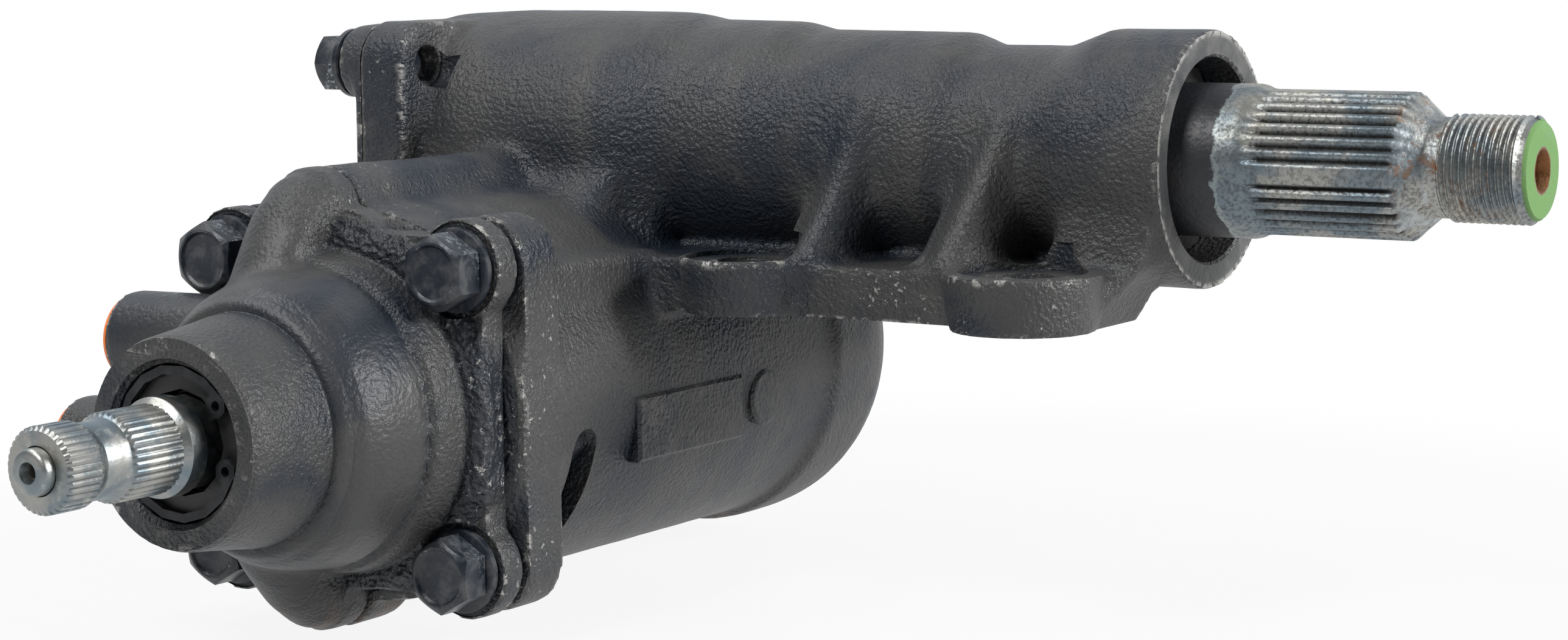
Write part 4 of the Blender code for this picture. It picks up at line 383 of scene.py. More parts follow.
def blued_steel():
    """The circlip."""
    return plain_finish("blued_spring_steel", (300, 0.7), (0.008, 0.009, 0.011), (0.03, 0.031, 0.034),
                        (0.2, 0.3), (900, 2.0, 0.0001, 0.4), Metallic=0.4)


def oiled_rubber():
    """The seals' lips."""
    return plain_finish("oiled_rubber", (140, 0.65), (0.006, 0.006, 0.007), (0.024, 0.023, 0.022),
                        (0.3, 0.3), (700, 3.0, 0.0002, 0.5))


def ring_plastic():
    """The piston's and the sleeve's rings."""
    return plain_finish("ring_plastic", (160, 0.65), (0.09, 0.065, 0.04), (0.16, 0.12, 0.08),
                        (0.2, 0.4), (600, 2.0, 0.0001, 0.4))


def hard_steel():
    """Ground steel of what runs inside, with an oily film."""
    f = Finish("ground_steel", IOR=2.0)
    tone = f.noise(60, 3.0)
    colour = f.mix(tone.ramp(0.35, 0.65), (0.30, 0.31, 0.33), (0.46, 0.46, 0.45))
    oil = f.noise(35, 3.0, 0.5, 0.8).ramp(0.5, 0.7)
    colour = f.mix(oil * 0.5, colour, (0.12, 0.10, 0.07))
    relief = f.bump(f.noise(900, 2.0, 0.5, 0.0, (1, 0.1, 1)), 0.00005, 0.5)
    return f.set(Base_Color=colour, Roughness=tone * 0.1 + 0.22, Metallic=1 - oil * 0.2, Normal=relief)


def gasket_sheet():
    """Pressed fibre between the cover and the housing."""
    f = Finish("gasket_sheet")
    fibre = f.noise(420, 4.0, 0.7)
    colour = f.mix(fibre.ramp(0.35, 0.65), (0.05, 0.05, 0.046), (0.13, 0.13, 0.12))
    return f.set(Base_Color=colour, Roughness=fibre * 0.2 + 0.65, Normal=f.bump(fibre, 0.0002, 0.6))


def orange_plastic(colours):
    """The shipping plugs, scuffed in places."""
    f = Finish("orange_plug_plastic")
    tone = f.noise(90, 3.0)
    scuff = f.noise(340, 4.0, 0.7).ramp(0.55, 0.7)
    colour = f.mix(scuff * 0.4, colours.plug, (0.95, 0.42, 0.18))
    return f.set(Base_Color=colour, Roughness=tone * 0.2 + 0.35 + scuff * 0.15,
        Normal=f.bump(f.noise(500, 3.0), 0.0001, 0.5))


# Modelling


def only(*objects):
    bpy.ops.object.select_all(action="DESELECT")
    for obj in objects:
        obj.select_set(True)
    bpy.context.view_layer.objects.active = objects[0]


def edit_all():
    """Opens the active object in edit mode with everything selected."""
    bpy.ops.object.mode_set(mode="EDIT")
    bpy.ops.mesh.select_all(action="SELECT")


def leave_edit():
    bpy.ops.object.mode_set(mode="OBJECT")


def drawn(name, axis, rings, sides=64, centre=(0, 0), bevel=0.0):
    """A closed solid drawn out along an axis.

    Each ring is (along, half width, half height, shift across, shift up).
    """
    k = "XYZ".index(axis)
    u, v = [i for i in range(3) if i != k]

    def spot(ring):
        point = [0, 0, 0]
        shift = ring[3:5] if len(ring) > 3 else (0, 0)
        point[k], point[u], point[v] = ring[0], centre[0] + shift[0], centre[1] + shift[1]
        return at(*point)

    here, size = spot(rings[0]), (1, 1)
    bpy.ops.object.select_all(action="DESELECT")
    if sides == 4:
        bpy.ops.mesh.primitive_plane_add(size=2 * MM, location=here, rotation=FACE[axis])
    else:
        bpy.ops.mesh.primitive_circle_add(
            vertices=sides, radius=MM, fill_type="NGON", location=here, rotation=FACE[axis]
        )
    made = bpy.context.object
    made.name = name
    edit_all()
    for i, ring in enumerate(rings):
        if i:
            bpy.ops.mesh.extrude_region_move(TRANSFORM_OT_translate={"value": spot(ring) - here})
            here = spot(ring)
        scale = [1, 1, 1]
        scale[u], scale[v] = ring[1] / size[0], ring[2] / size[1]
        bpy.ops.transform.resize(value=scale, center_override=here)
        size = (ring[1], ring[2])
    bpy.ops.mesh.select_all(action="SELECT")
    if bevel:
        bpy.ops.mesh.bevel(offset=bevel * MM, segments=3, affect="EDGES")
    bpy.ops.mesh.normals_make_consistent(inside=False)
    leave_edit()
    bpy.ops.object.transform_apply()
    return made


def about(radius, profile):
    """A profile whose radii are given from a radius."""
    return [(along, radius + more) for along, more in profile]


def turned(name, axis, profile, sides=64, centre=(0, 0)):
    """A turned solid from a profile of (along, radius)."""
    return drawn(name, axis, [(a, r, r) for a, r in profile], sides, centre)


def on_worm(name, profile, sides=96):
    """A turned solid about the worm's axis."""
    return turned(name, "Y", profile, sides, (0, WORM_Z))


def box(name, low, high, bevel=0.0):
    """A rectangular block between two corners."""
    half = [(b - a) / 2 for a, b in zip(low, high)]
    middle = [(a + b) / 2 for a, b in zip(low, high)]
    return drawn(name, "Z", [(low[2], half[0], half[1]), (high[2], half[0], half[1])], 4, middle[:2], bevel)


def joined(first, others):
    only(first, *others)
    bpy.ops.object.join()
    return bpy.context.object


def finish_modifier(obj, kind, **settings):
    only(obj)
    bpy.ops.object.modifier_add(type=kind)
    modifier = obj.modifiers[-1]
    for key, value in settings.items():
        setattr(modifier, key, value)
    bpy.ops.object.modifier_apply(modifier=modifier.name)
    return obj


def cast(name, forms, voxel, softness, grain, fillets=()):
    """Overlapping forms become one skin, softened as a casting is and roughened by sand."""
    obj = joined(forms[0], forms[1:])
    obj.name = obj.data.name = name
    finish_modifier(obj, "REMESH", mode="VOXEL", voxel_size=voxel)
    finish_modifier(obj, "SMOOTH", factor=0.5, iterations=softness)
    for low, high, times in fillets:
        a, b = at(*low), at(*high)
        choose(obj, lambda co, a=a, b=b: a.x < co.x < b.x and a.y < co.y < b.y and a.z < co.z < b.z)
        bpy.ops.mesh.vertices_smooth(factor=0.5, repeat=times)
        leave_edit()
    for scale, share in SAND_LAYERS:
        sand = bpy.data.textures.new("sand", "CLOUDS")
        sand.noise_scale, sand.noise_depth = scale, 1
        finish_modifier(obj, "DISPLACE", texture=sand, strength=grain * share, mid_level=0.62,
                        texture_coords="LOCAL")
    return obj


def cut(obj, cutters, operation="DIFFERENCE"):
    """Machines the casting with each cutter in turn."""
    for cutter in cutters:
        finish_modifier(obj, "BOOLEAN", object=cutter, operation=operation, solver="MANIFOLD")
    for cutter in cutters:
        bpy.data.objects.remove(cutter)
    return obj


def smooth(obj, angle=35):
    only(obj)
    bpy.ops.object.shade_smooth_by_angle(angle=math.radians(angle))
    return obj


def dress(obj, body, slot, *nodes, finish=None):
    """Gives a finished piece its material and body and hides the nodes that it stands for; slot is not
    used.
    """
    if finish:
        obj.data.materials.clear()
        obj.data.materials.append(finish)
    if obj.data.name != obj.name:
        obj.data.name = obj.name
    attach(obj, body)
    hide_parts(*nodes)
    return obj


def copy_of(node, name):
    """A node's own shape as a new mesh, with its loose triangles merged."""
    source = frame["nodes"][node]
    obj = bpy.data.objects.new(name, source.data.copy())
    bpy.context.scene.collection.objects.link(obj)
    only(obj)
    edit_all()
    bpy.ops.mesh.remove_doubles(threshold=1e-6)
    bpy.ops.mesh.normals_make_consistent(inside=False)
    leave_edit()
    return obj


def sliced(obj, point, normal):
    """Keeps what lies behind a plane and closes the cut."""
    only(obj)
    edit_all()
    bpy.ops.mesh.bisect(plane_co=point, plane_no=normal, clear_outer=True, use_fill=True)
    leave_edit()
    return obj


def choose(obj, chosen):
    """Opens an object in edit mode with the chosen points selected."""
    only(obj)
    bpy.ops.object.mode_set(mode="EDIT")
    bpy.ops.mesh.select_mode(type="VERT")
    bpy.ops.mesh.select_all(action="DESELECT")
    leave_edit()
    for vertex in obj.data.vertices:
        vertex.select = chosen(vertex.co)
    bpy.ops.object.mode_set(mode="EDIT")


def move_points(obj, chosen, scale, centre):
    """Scales the chosen points about a centre."""
    choose(obj, chosen)
    bpy.ops.transform.resize(value=scale, center_override=centre)
    leave_edit()
    return obj


def paint_faces(obj, finish, chosen):
    """A second finish on the faces that are chosen by their middle and normal."""
    obj.data.materials.append(finish)
    index = len(obj.data.materials) - 1
    for face in obj.data.polygons:
        if chosen((face.center - ORIGIN) / MM, face.normal):
            face.material_index = index


class GEARBOX_OT_gear_casting(bpy.types.Operator):
    """Cast the sector tube, barrel, flange and mounting ledge in one, then machine it"""

    bl_idname = "gearbox.gear_casting"
    bl_label = "Gear housing"

    def execute(self, context):
        sizes = context.scene.gearbox_sizes
        end_r, barrel_r = sizes.tube_end_radius / MM, sizes.barrel_radius / MM
        forms = [drawn("sector_tube", "X", [
            (-44, 33.6, 29.2), (-24, 33.8, 30.2), (13, 33.8, 30.1), (20, 32.6, 29.9), (25, 30.6, 29.4),
            (30, 28.7, 28.4), (52, 28.2, 28.1), (59, 26.4, 26.4), (95.3, 26.1, 26.1), (102.3, 23.5, 23.5),
            (121, 23.5, 23.5), (131, end_r, end_r), (154, end_r, end_r)])]
        forms.append(drawn("sector_chamber", "X", [
            (-42, 33.8, 26, 0, -26), (13, 33.8, 26, 0, -26), (22, 32, 25, 0, -25), (31, 28.5, 17, 0, -16),
        ], 4))
        forms.append(on_worm("worm_barrel", about(barrel_r, (
            (-93, 0), (27.4, 0), (28.6, 1.7), (38.9, 1.7), (39.3, 0.9), (40, 0.9), (40.4, 1.7), (47.5, 1.2),
            (53, -0.8), (56.5, -5), (58.2, -11)))))
        forms += flange_forms(-91.1, -79)
        forms.append(drawn("shoulder", "Y", [
            (-82, 26, 17.6, 0, -33), (-74, 25, 17.0, 0, -34), (-62, 22, 15.5, 0, -37.5),
            (-50, 18, 13.5, 0, -41)], 4))
        forms.append(box("side_rail", (14, -80, -36), (36.9, -36, -20.6), 0.6))
        foot = box("chamber_foot", (-29, -47, -30), (22, -30, 1))
        foot = sliced(foot, at(0, -34, -4.5), (0, -9, 6))
        forms.append(sliced(foot, at(0, -38, -9.5), (0, -5, 11)))
        forms.append(drawn("upper_passage", "Y", [
            (-93, 9.8, 9.8), (-80, 9.6, 9.6), (-60, 9.3, 9.3, 0, 0.3), (-34, 8.8, 8.8, 0, 1),
            (-26, 7, 7, 0, 1),
        ], 32, (PASSAGE_X, -9.9)))
        forms.append(drawn("lower_passage", "Y", [
            (-93, 10.1, 10.05), (-80, 10.1, 9.9), (-70, 7.5, 7, 0, 3.5), (-60, 4.5, 4, 0, 8),
        ], 32, (PASSAGE_X, -89.8)))
        forms += self.cover_flange() + self.ledge() + self.ribs()
        fillets = [((-30, -70, -26), (34, -31, 1), 14), ((14, -36, -30), (34, -22, 22), 10)]
        for x in (78, 112):
            fillets.append(((x - 14, -39, -20), (x + 12, -18, 17), 10))
        fillets.append(((124, -30, -18), (150, -10, 4), 14))
        obj = cast("cast_gear_housing", forms, sizes.voxel, 4, sizes.cast_grain, fillets)
        pad = drawn("cast_pad", "X", [
            (28, 20.5, 7.2), (42.2, 20.5, 7.2), (42.9, 19.8, 6.5)], 4, (-32.5, -58.4))
        boss = turned("cast_boss", "X", [(34, 6.6), (42.2, 6.4), (42.8, 5.6)], 32, (-1.9, -57.6))
        cut(obj, [pad, boss], "UNION")
        cut(obj, self.machining())
        smooth(obj)
        colours = context.scene.gearbox_colours
        obj.data.materials.clear()
        obj.data.materials.append(cast_paint(colours))
        paint_faces(obj, machined_ring(colours), lambda c, n: c.x > 152 and n.x > 0.9)
        dress(obj, "housing", "casting", "gear_housing")
        return {"FINISHED"}

    def cover_flange(self):
        forms = [box("cover_flange", (-45, -39.8, -24.5), (-31.8, 39.8, 18.4)),
                 box("cover_flange", (-45, -30, -34.4), (-31.8, 30, 28.2))]
        for y, z in COVER_BOLTS:
            forms.append(turned("cover_lobe", "X", [(-45, 9.9), (-31.8, 9.9)], 32, (y, z)))
        return forms

    def ledge(self):
        forms = [box("ledge", (12, -40.6, -34), (130, 28, -22)),
                 box("ledge_end", (112, -36, -34), (142.2, 14, -22))]
        forms = [sliced(form, at(141.3, -12, 0), (26, 19, 0)) for form in forms]
        for i, (x, y) in enumerate(MOUNT_HOLES):
            foot, top = ((15, 17), (13.6, 15), (15, 17))[i]
            forms.append(turned("mount_boss", "Z", [(-34, foot), (-21, top)], 48, (x, y)))
        forms.append(box("far_arm", (70, 20, -34), (96, 40, -22)))
        return forms

    def ribs(self):
        forms = []
        edge = ((-24, 41.5, 0), (-19.5, 40.4, 0.4), (-13, 35.6, 1.3), (-7, 31.6, 2.4))
        for x, upper in ((76.3, ((0, 29.4, 3.7), (8, 27.2, 5.2), (15, 24.2, 6.4))),
                         (110.3, ((-1, 28, 3.3), (5, 25.4, 4.4), (11, 22.5, 5.4)))):
            for side in (-1, 1):
                for half, inset, drop, shift in ((2.7, 0, 0, 0), (5.2, 2.4, 1.4, -1), (8.6, 5.2, 3, -2.4)):
                    forms.append(drawn("rib", "Z", [
                        (top - drop, half, (reach - inset - 10) / 2,
                         lean + shift, side * (reach - inset + 10) / 2)
                        for top, reach, lean in edge + upper], 4, (x, 0)))
        forms.append(drawn("end_web", "Z", [
            (-34, 12.6, 12.5, 128.6, -24.5), (-25.5, 14, 11, 132, -21), (-21, 11.5, 9, 138, -18.5),
            (-12, 10.5, 9, 140.2, -17), (-2, 9, 8.2, 140.6, -16.2)], 4))
        return forms

    def machining(self):
        cutters = [box("cover_trim", (-60, -60, -50), (-43.2, 60, 40)),
                   box("end_trim", (153, -40, -40), (160, 40, 40)),
                   box("ledge_trim", (43.5, -70, -40), (160, 70, -33))]
        cutters.append(on_worm("barrel_bore", [(-100, BARREL_BORE_R), (50.5, BARREL_BORE_R)]))
        cutters.append(turned("sector_opening", "X", [(-50, SECTOR_OPENING_R), (19.5, SECTOR_OPENING_R)]))
        fan = turned("sector_fan", "X", [(-50, SECTOR_SWEEP_R), (19.5, SECTOR_SWEEP_R)])
        cutters.append(sliced(fan, at(0, 0, 1), (0, 0, 1)))
        cutters.append(turned("tube_bore", "X", TUBE_BORE, 96))
        for x, z in VALVE_BOLTS:
            cutters.append(
                turned("bolt_hole", "Y", [(-100, VALVE_BOLT_HOLE_R), (-75, VALVE_BOLT_HOLE_R)], 24, (x, z)))
        for y, z in COVER_BOLTS:
            cutters.append(turned("bolt_hole", "X", [
                (-50, COVER_BOLT_HOLE_R), (-32.6, COVER_BOLT_HOLE_R), (-31.9, 4.6), (-31.7, 5.2),
                (-26, 5.6)], 32, (y, z)))
        for x, y in MOUNT_HOLES:
            cutters.append(
                turned("mount_hole", "Z", [(-40, MOUNT_HOLE_R), (-10, MOUNT_HOLE_R)], 48, (x, y)))
            cutters.append(turned("spot_face", "Z", [(-22.1, SPOT_FACE_R), (-16, SPOT_FACE_R)], 64, (x, y)))
        cutters.append(turned("scoop", "X", [(38.6, 3.2), (46, 5.6)], 32, (-71, -60)))
        scoop = box("scoop", (22, -75.2, -84), (46, -67, -60))
        cutters.append(sliced(scoop, at(38.8, 0, -60), (-22, 0, 12)))
        return cutters


def flange_forms(start, end, inset=0.0, waist=41.3):
    """The flange that both castings share: four bolt lobes and two oil passage lobes."""
    x, z = BOLT_X, BOLT_Z
    forms = [box("flange", (-x, start, WORM_Z - 37.6 + inset), (x, end, WORM_Z + 38.2 - inset)),
             box("flange", (-waist + inset, start, WORM_Z - z), (waist - inset, end, WORM_Z + z))]
    lobes = [(px, pz, 10.5) for px, pz in VALVE_BOLTS]
    lobes += [(PASSAGE_X, WORM_Z + 41.1, 9.8), (2, WORM_Z + 35, 7.5), (PASSAGE_X, WORM_Z - 38.7, 9.7)]
    for px, pz, r in lobes:
        forms.append(turned("flange_lobe", "Y", [(start, r - inset), (end, r - inset)], 48, (px, pz)))
    return forms


class GEARBOX_OT_valve_casting(bpy.types.Operator):
    """Cast the valve housing with its nose, saddles and ports, then machine it"""

    bl_idname = "gearbox.valve_casting"
    bl_label = "Valve housing"

    def execute(self, context):
        sizes = context.scene.gearbox_sizes
        nose = sizes.nose_radius / MM
        forms = [on_worm("valve_nose", about(nose, (
            (-153.4, -0.4), (-135, 1.5), (-132, 2.2), (-130.5, 4.6), (-127, 7.2), (-122, 8.9), (-117, 9.6),
            (-112.6, 10.2), (-112.1, 7.6), (-110.9, 7.6), (-110.2, 11.5), (-106, 12.1), (-102, 12.4),
            (-98, 13))))]
        forms += flange_forms(-99.6, -93.0, 0, 37.2) + flange_forms(-94, -91.4, 1.9, 37.6)
        forms.append(on_worm("bearing_seat", [(-101.5, 36.4), (-100.6, 38.2), (-98, 38.6)]))
        for side, r, rings in (
            (1, 9.4, ((-98, 41.1, 1.0), (-104, 40, 0.97), (-110, 35.8, 0.93), (-116, 27.6, 0.88),
            (-121, 20, 0.84), (-126, 14, 0.75))), (-1, 9.6, ((-98, -38.7, 1.0), (-104, -37.6, 0.97),
            (-110, -34, 0.93), (-117, -27, 0.88), (-123, -19, 0.84), (-128, -13, 0.75))),
        ):
            middle = (PASSAGE_X, WORM_Z)
            forms.append(drawn("saddle", "Y", [
                (y, r * share, r * share, -PASSAGE_X * (1 - share), rise) for y, rise, share in rings
            ], 32, middle))
            forms.append(drawn("saddle_root", "Y", [
                (-98, 6.4, 10, 0, side * 27), (-107, 6, 10, 0.6, side * 22), (-114, 5, 8, 2, side * 16),
            ], 4, middle))
        for y, rise in PORTS:
            forms.append(turned("port_boss", "X", [(-44.8, 10.1), (-8, 10.6)], 48, (y, WORM_Z + rise)))
        forms.append(box("port_web", (-34, -130, WORM_Z - 9), (-8, -113, WORM_Z + 13), 4))
        fillets = [((-26, -124, WORM_Z + 20), (8, -101, WORM_Z + 46), 8)]
        fillets.append(((-26, -124, WORM_Z - 44), (8, -101, WORM_Z - 20), 8))
        obj = cast("cast_valve_housing", forms, sizes.voxel * 0.75, 3, sizes.cast_grain * 0.8, fillets)
        cut(obj, [on_worm("nose_rim", about(nose, (
            (-152.35, -0.9), (-151.9, -0.3), (-151, 0.1), (-145, 0.8), (-138, 1.7), (-133.2, 2.4),
            (-132.2, 2.45), (-131.9, 2.6), (-131.8, 3.5), (-131.4, 4.3), (-130.6, 5.0), (-129.6, 5.6),
            (-128.4, 5.4), (-126, 2))), 128)], "UNION")
        cut(obj, self.machining())
        smooth(obj)
        dress(obj, "housing", "casting", "valve_housing", finish=bpy.data.materials["black_casting_paint"])
        return {"FINISHED"}

    def machining(self):
        cutters = [box("nose_trim", (-30, -160, -80), (30, -152.35, -20))]
        cutters.append(on_worm("valve_bore", [
            (-156, 19), (-152.3, 17.1), (-151.2, 16.1), (-144.4, 16.1), (-144.4, 14), (-136, 14),
            (-136, 18.7), (-104, 18.7), (-104, 26), (-85, 26)]))
        for x, z in VALVE_BOLTS:
            cutters.append(
                turned("bolt_way", "Y", [(-103, VALVE_BOLT_HOLE_R), (-85, VALVE_BOLT_HOLE_R)], 24, (x, z)))
            cutters.append(
                turned("washer_seat", "Y", [(-112, 10.9), (-101, 10.1), (-99.0, 9.9)], 48, (x, z)))
        for y, rise in PORTS:
            cutters.append(
                box("port_trim", (-56, y - 14, WORM_Z + rise - 14), (-44.75, y + 14, WORM_Z + rise + 14)))
            cutters.append(turned("port_bore", "X", [(-50, 6.6), (-15.5, 6.6)], 32, (y, WORM_Z + rise)))
        return cutters


class GEARBOX_OT_side_cover(bpy.types.Operator):
    """Cast the side cover with its bearing boss and bolt lugs, then machine it"""

    bl_idname = "gearbox.side_cover"
    bl_label = "Side cover"

    def execute(self, context):
        sizes = context.scene.gearbox_sizes
        forms = [box("cover_plate", (-47, -39.2, -24.5), (-43, 39.2, 18.4)),
                 box("cover_plate", (-47, -30, -33.8), (-43, 30, 27.7)),
                 turned("cover_boss", "X", [(-56.8, 17), (-55, 18.4), (-47, 19.6), (-43, 19.8)])]
        for y, z in COVER_BOLTS:
            forms.append(turned("cover_lug", "X", [(-52.2, 8.8), (-43, 9.4)], 32, (y, z)))
            web = [(-43, 9, 6, y * 0.62, z * 0.62), (-51, 6, 4, y * 0.6, z * 0.6)]
            forms.append(drawn("cover_web", "X", web, 4, bevel=2))
        obj = cast("cast_side_cover", forms, sizes.voxel, 5, sizes.cast_grain)
        cutters = [box("joint_trim", (-44.4, -60, -60), (-40, 60, 60)),
                   turned("cover_bore", "X", [(-54, 15), (-40, 15)]),
                   turned("screw_hole", "X", [(-60, 4.3), (-50, 4.3)], 32)]
        for y, z in COVER_BOLTS:
            cutters.append(turned("bolt_way", "X", [(-54, 4.3), (-40, 4.3)], 24, (y, z)))
            cutters.append(turned("lug_face", "X", [(-60, 9.0), (-52.0, 8.9)], 32, (y, z)))
        cut(obj, cutters)
        spigot = turned("cover_spigot", "X", [(-44.5, 24.2), (-39.2, 23.6)])
        cut(spigot, [turned("cover_bore", "X", [(-50, 15), (-30, 15)])])
        obj = joined(obj, [spigot])
        smooth(obj)
        dress(obj, "housing", "casting", "side_cover", finish=bpy.data.materials["black_casting_paint"])
        return {"FINISHED"}


class GEARBOX_OT_output_shaft(bpy.types.Operator):
    """Turn the output shaft, cut its spline and thread, and set it on the sector"""

    bl_idname = "gearbox.output_shaft"
    bl_label = "Sector shaft"

    def execute(self, context):
        sizes = context.scene.gearbox_sizes
        inner = sliced(copy_of("sector_shaft", "sector_shaft_steel"), at(134, 0, 0), (1, 0, 0))
        outer_r, thread_r = sizes.spline_radius / MM, sizes.thread_radius / MM
        band = self.spline(outer_r, sizes.spline_depth / MM)
        obj = joined(inner, [band, self.thread(thread_r, sizes.thread_pitch / MM)])
        obj.name = "sector_shaft_steel"
        smooth(obj, 32)
        steel = shaft_steel(context.scene.gearbox_colours)
        dress(obj, "sector", "bare_steel", "sector_shaft", finish=steel)
        return {"FINISHED"}

    def spline(self, r, depth):
        """32 places, of which every eighth is a wide master land and the rest are V grooves."""
        band = turned("spline", "X", [
            (133.5, 17.0), (137.6, 17.0), (138.4, 16.1), (163.4, 16.1), (164.4, 15.9), (165.3, r + 0.35),
            (166.5, r + 0.05), (168, r), (169.6, r), (197.6, r), (198.0, r - 0.35),
            (199.1, r - depth - 0.1), (202.2, 11.1), (202.8, 10.5), (203.3, 10.2),
            (205.8, 10.2)], SPLINE_SIDES)
        step = 2 * math.pi / SPLINE_PLACES

        def share(co):
            angle = (math.atan2(co.z - ORIGIN.z, co.y) - math.radians(180)) % (2 * math.pi)
            place = int(angle / step)
            offset = abs(angle / step - place - 0.5)
            return 0 if place % MASTER_EVERY == 0 else max(0.0, 1 - offset / 0.34)

        bands = ((169.2, 197.8, 1.0), (197.9, 198.2, 0.7), (167.5, 168.5, 0.7), (166.2, 167, 0.3))
        for low, high, deep in bands:
            for level in (1.0, 0.65, 0.3):
                def chosen(co, low=low, high=high, level=level):
                    near = low < (co.x - ORIGIN.x) / MM < high
                    return near and abs(share(co) - level) < 0.18 and share(co) > 0.05

                factor = 1 - depth * deep * level / r
                move_points(band, chosen, (1, factor, factor), at(0, 0, 0))
        return band

    def thread(self, r, pitch):
        """A root cylinder with a helical ridge swept round it."""
        root = turned("thread_root", "X", [
            (205.2, 9.6), (205.9, r - 0.85), (222.7, r - 0.85), (223.6, r - 1.0), (224.15, r - 1.5)], 96)
        cut(root, [turned("centre_hole", "X", [(213, 0.5), (215.2, 2.7), (222, 2.7), (224.6, 4.7)], 32)])
        bpy.ops.object.select_all(action="DESELECT")
        ridge_at = at(206.4, 0, r - 0.95)
        bpy.ops.mesh.primitive_circle_add(
            vertices=4, radius=pitch / 2 * MM, location=ridge_at, rotation=(math.pi / 2, 0, 0)
        )
        ridge = bpy.context.object
        edit_all()
        bpy.ops.transform.resize(value=(0.98, 1, 1.2), center_override=ridge_at)
        leave_edit()
        bpy.ops.object.transform_apply()
        centre = bpy.data.objects.new("thread_axis", None)
        bpy.context.scene.collection.objects.link(centre)
        centre.location = at(0, 0, 0)
        bpy.context.view_layer.update()
        finish_modifier(ridge, "SCREW", object=centre, axis="X", angle=2 * math.pi, screw_offset=pitch * MM,
                        iterations=THREAD_TURNS, steps=72, render_steps=72, use_merge_vertices=True,
                        merge_threshold=1e-6)
        bpy.data.objects.remove(centre)
        only(ridge)
        edit_all()
        bpy.ops.mesh.fill_holes(sides=8)
        bpy.ops.mesh.normals_make_consistent(inside=False)
        leave_edit()
        return joined(root, [ridge])


class GEARBOX_OT_input_shaft(bpy.types.Operator):
    """Turn the input shaft and roll its two bands of serrations"""

    bl_idname = "gearbox.input_shaft"
    bl_label = "Input shaft"

    def execute(self, context):
        sizes = context.scene.gearbox_sizes
        depth = sizes.serration_depth / MM
        inner = sliced(copy_of("input_shaft", "input_shaft_steel"), at(0, -153.4, 0), (0, -1, 0))
        front = self.band([
            (-188.5, 7.0), (-188.45, 7.7), (-187.7, 8.6), (-180.2, 8.6), (-179.4, 8.3), (-178.6, 7.75),
            (-177.4, 7.6)], 8.3, depth, (-188.2, -179.9))
        waist = on_worm("waist", [(-178, 7.4), (-177.5, 7.65), (-173.5, 7.65), (-172, 7.9), (-171.4, 8.2)])
        rear = self.band([
            (-172, 7.7), (-171.2, 8.5), (-170.6, 8.95), (-159.2, 9.0), (-158.4, 9.0), (-158.2, 8.2),
        ], 8.7, depth, (-170.9, -158.3))
        collar = on_worm("collar",
            [(-158.6, 8.4), (-157.8, 8.9), (-157.3, 9.9), (-156.9, 10.1), (-153, 10.1)])
        bore = [on_worm("bar_bore", [(-195, 4.9), (-179, 4.9)], 48)]
        cut(front, bore)
        obj = joined(inner, [front, waist, rear, collar])
        obj.name = "input_shaft_steel"
        smooth(obj, 30)
        steel = input_steel(context.scene.gearbox_colours)
        dress(obj, "input", "bare_steel", "input_shaft", finish=steel)
        bar = copy_of("torsion_bar", "torsion_bar_steel")
        bar = sliced(bar, at(0, -184, 0), (0, -1, 0))
        tip = on_worm("bar_tip",
            [(-191.1, 3.6), (-190.9, 4.2), (-190.3, 4.65), (-184.5, 4.65), (-183.5, 4.6)], 48)
        cut(tip, [on_worm("bar_centre", [(-193, 2.6), (-190.9, 2.1), (-189.8, 1.5), (-187, 1.4)], 32)])
        bar = joined(bar, [tip])
        bar.name = "torsion_bar_steel"
        smooth(bar)
        dress(bar, "input", "bare_steel", "torsion_bar", finish=steel)
        return {"FINISHED"}

    def band(self, profile, least_r, depth, span):
        band = on_worm("serrations", profile, SERRATIONS * 4)
        middle = at(0, 0, WORM_Z)

        def groove(co):
            angle = math.atan2(co.z - middle.z, co.x - middle.x) / (2 * math.pi) * SERRATIONS
            inside = span[0] < (co.y - middle.y) / MM < span[1]
            r = math.hypot(co.x - middle.x, co.z - middle.z) / MM
            return abs(angle - round(angle)) < 0.1 and inside and r > least_r - 1.2

        factor = 1 - depth / (least_r + 0.3)
        return move_points(band, groove, (factor, 1, factor), middle)


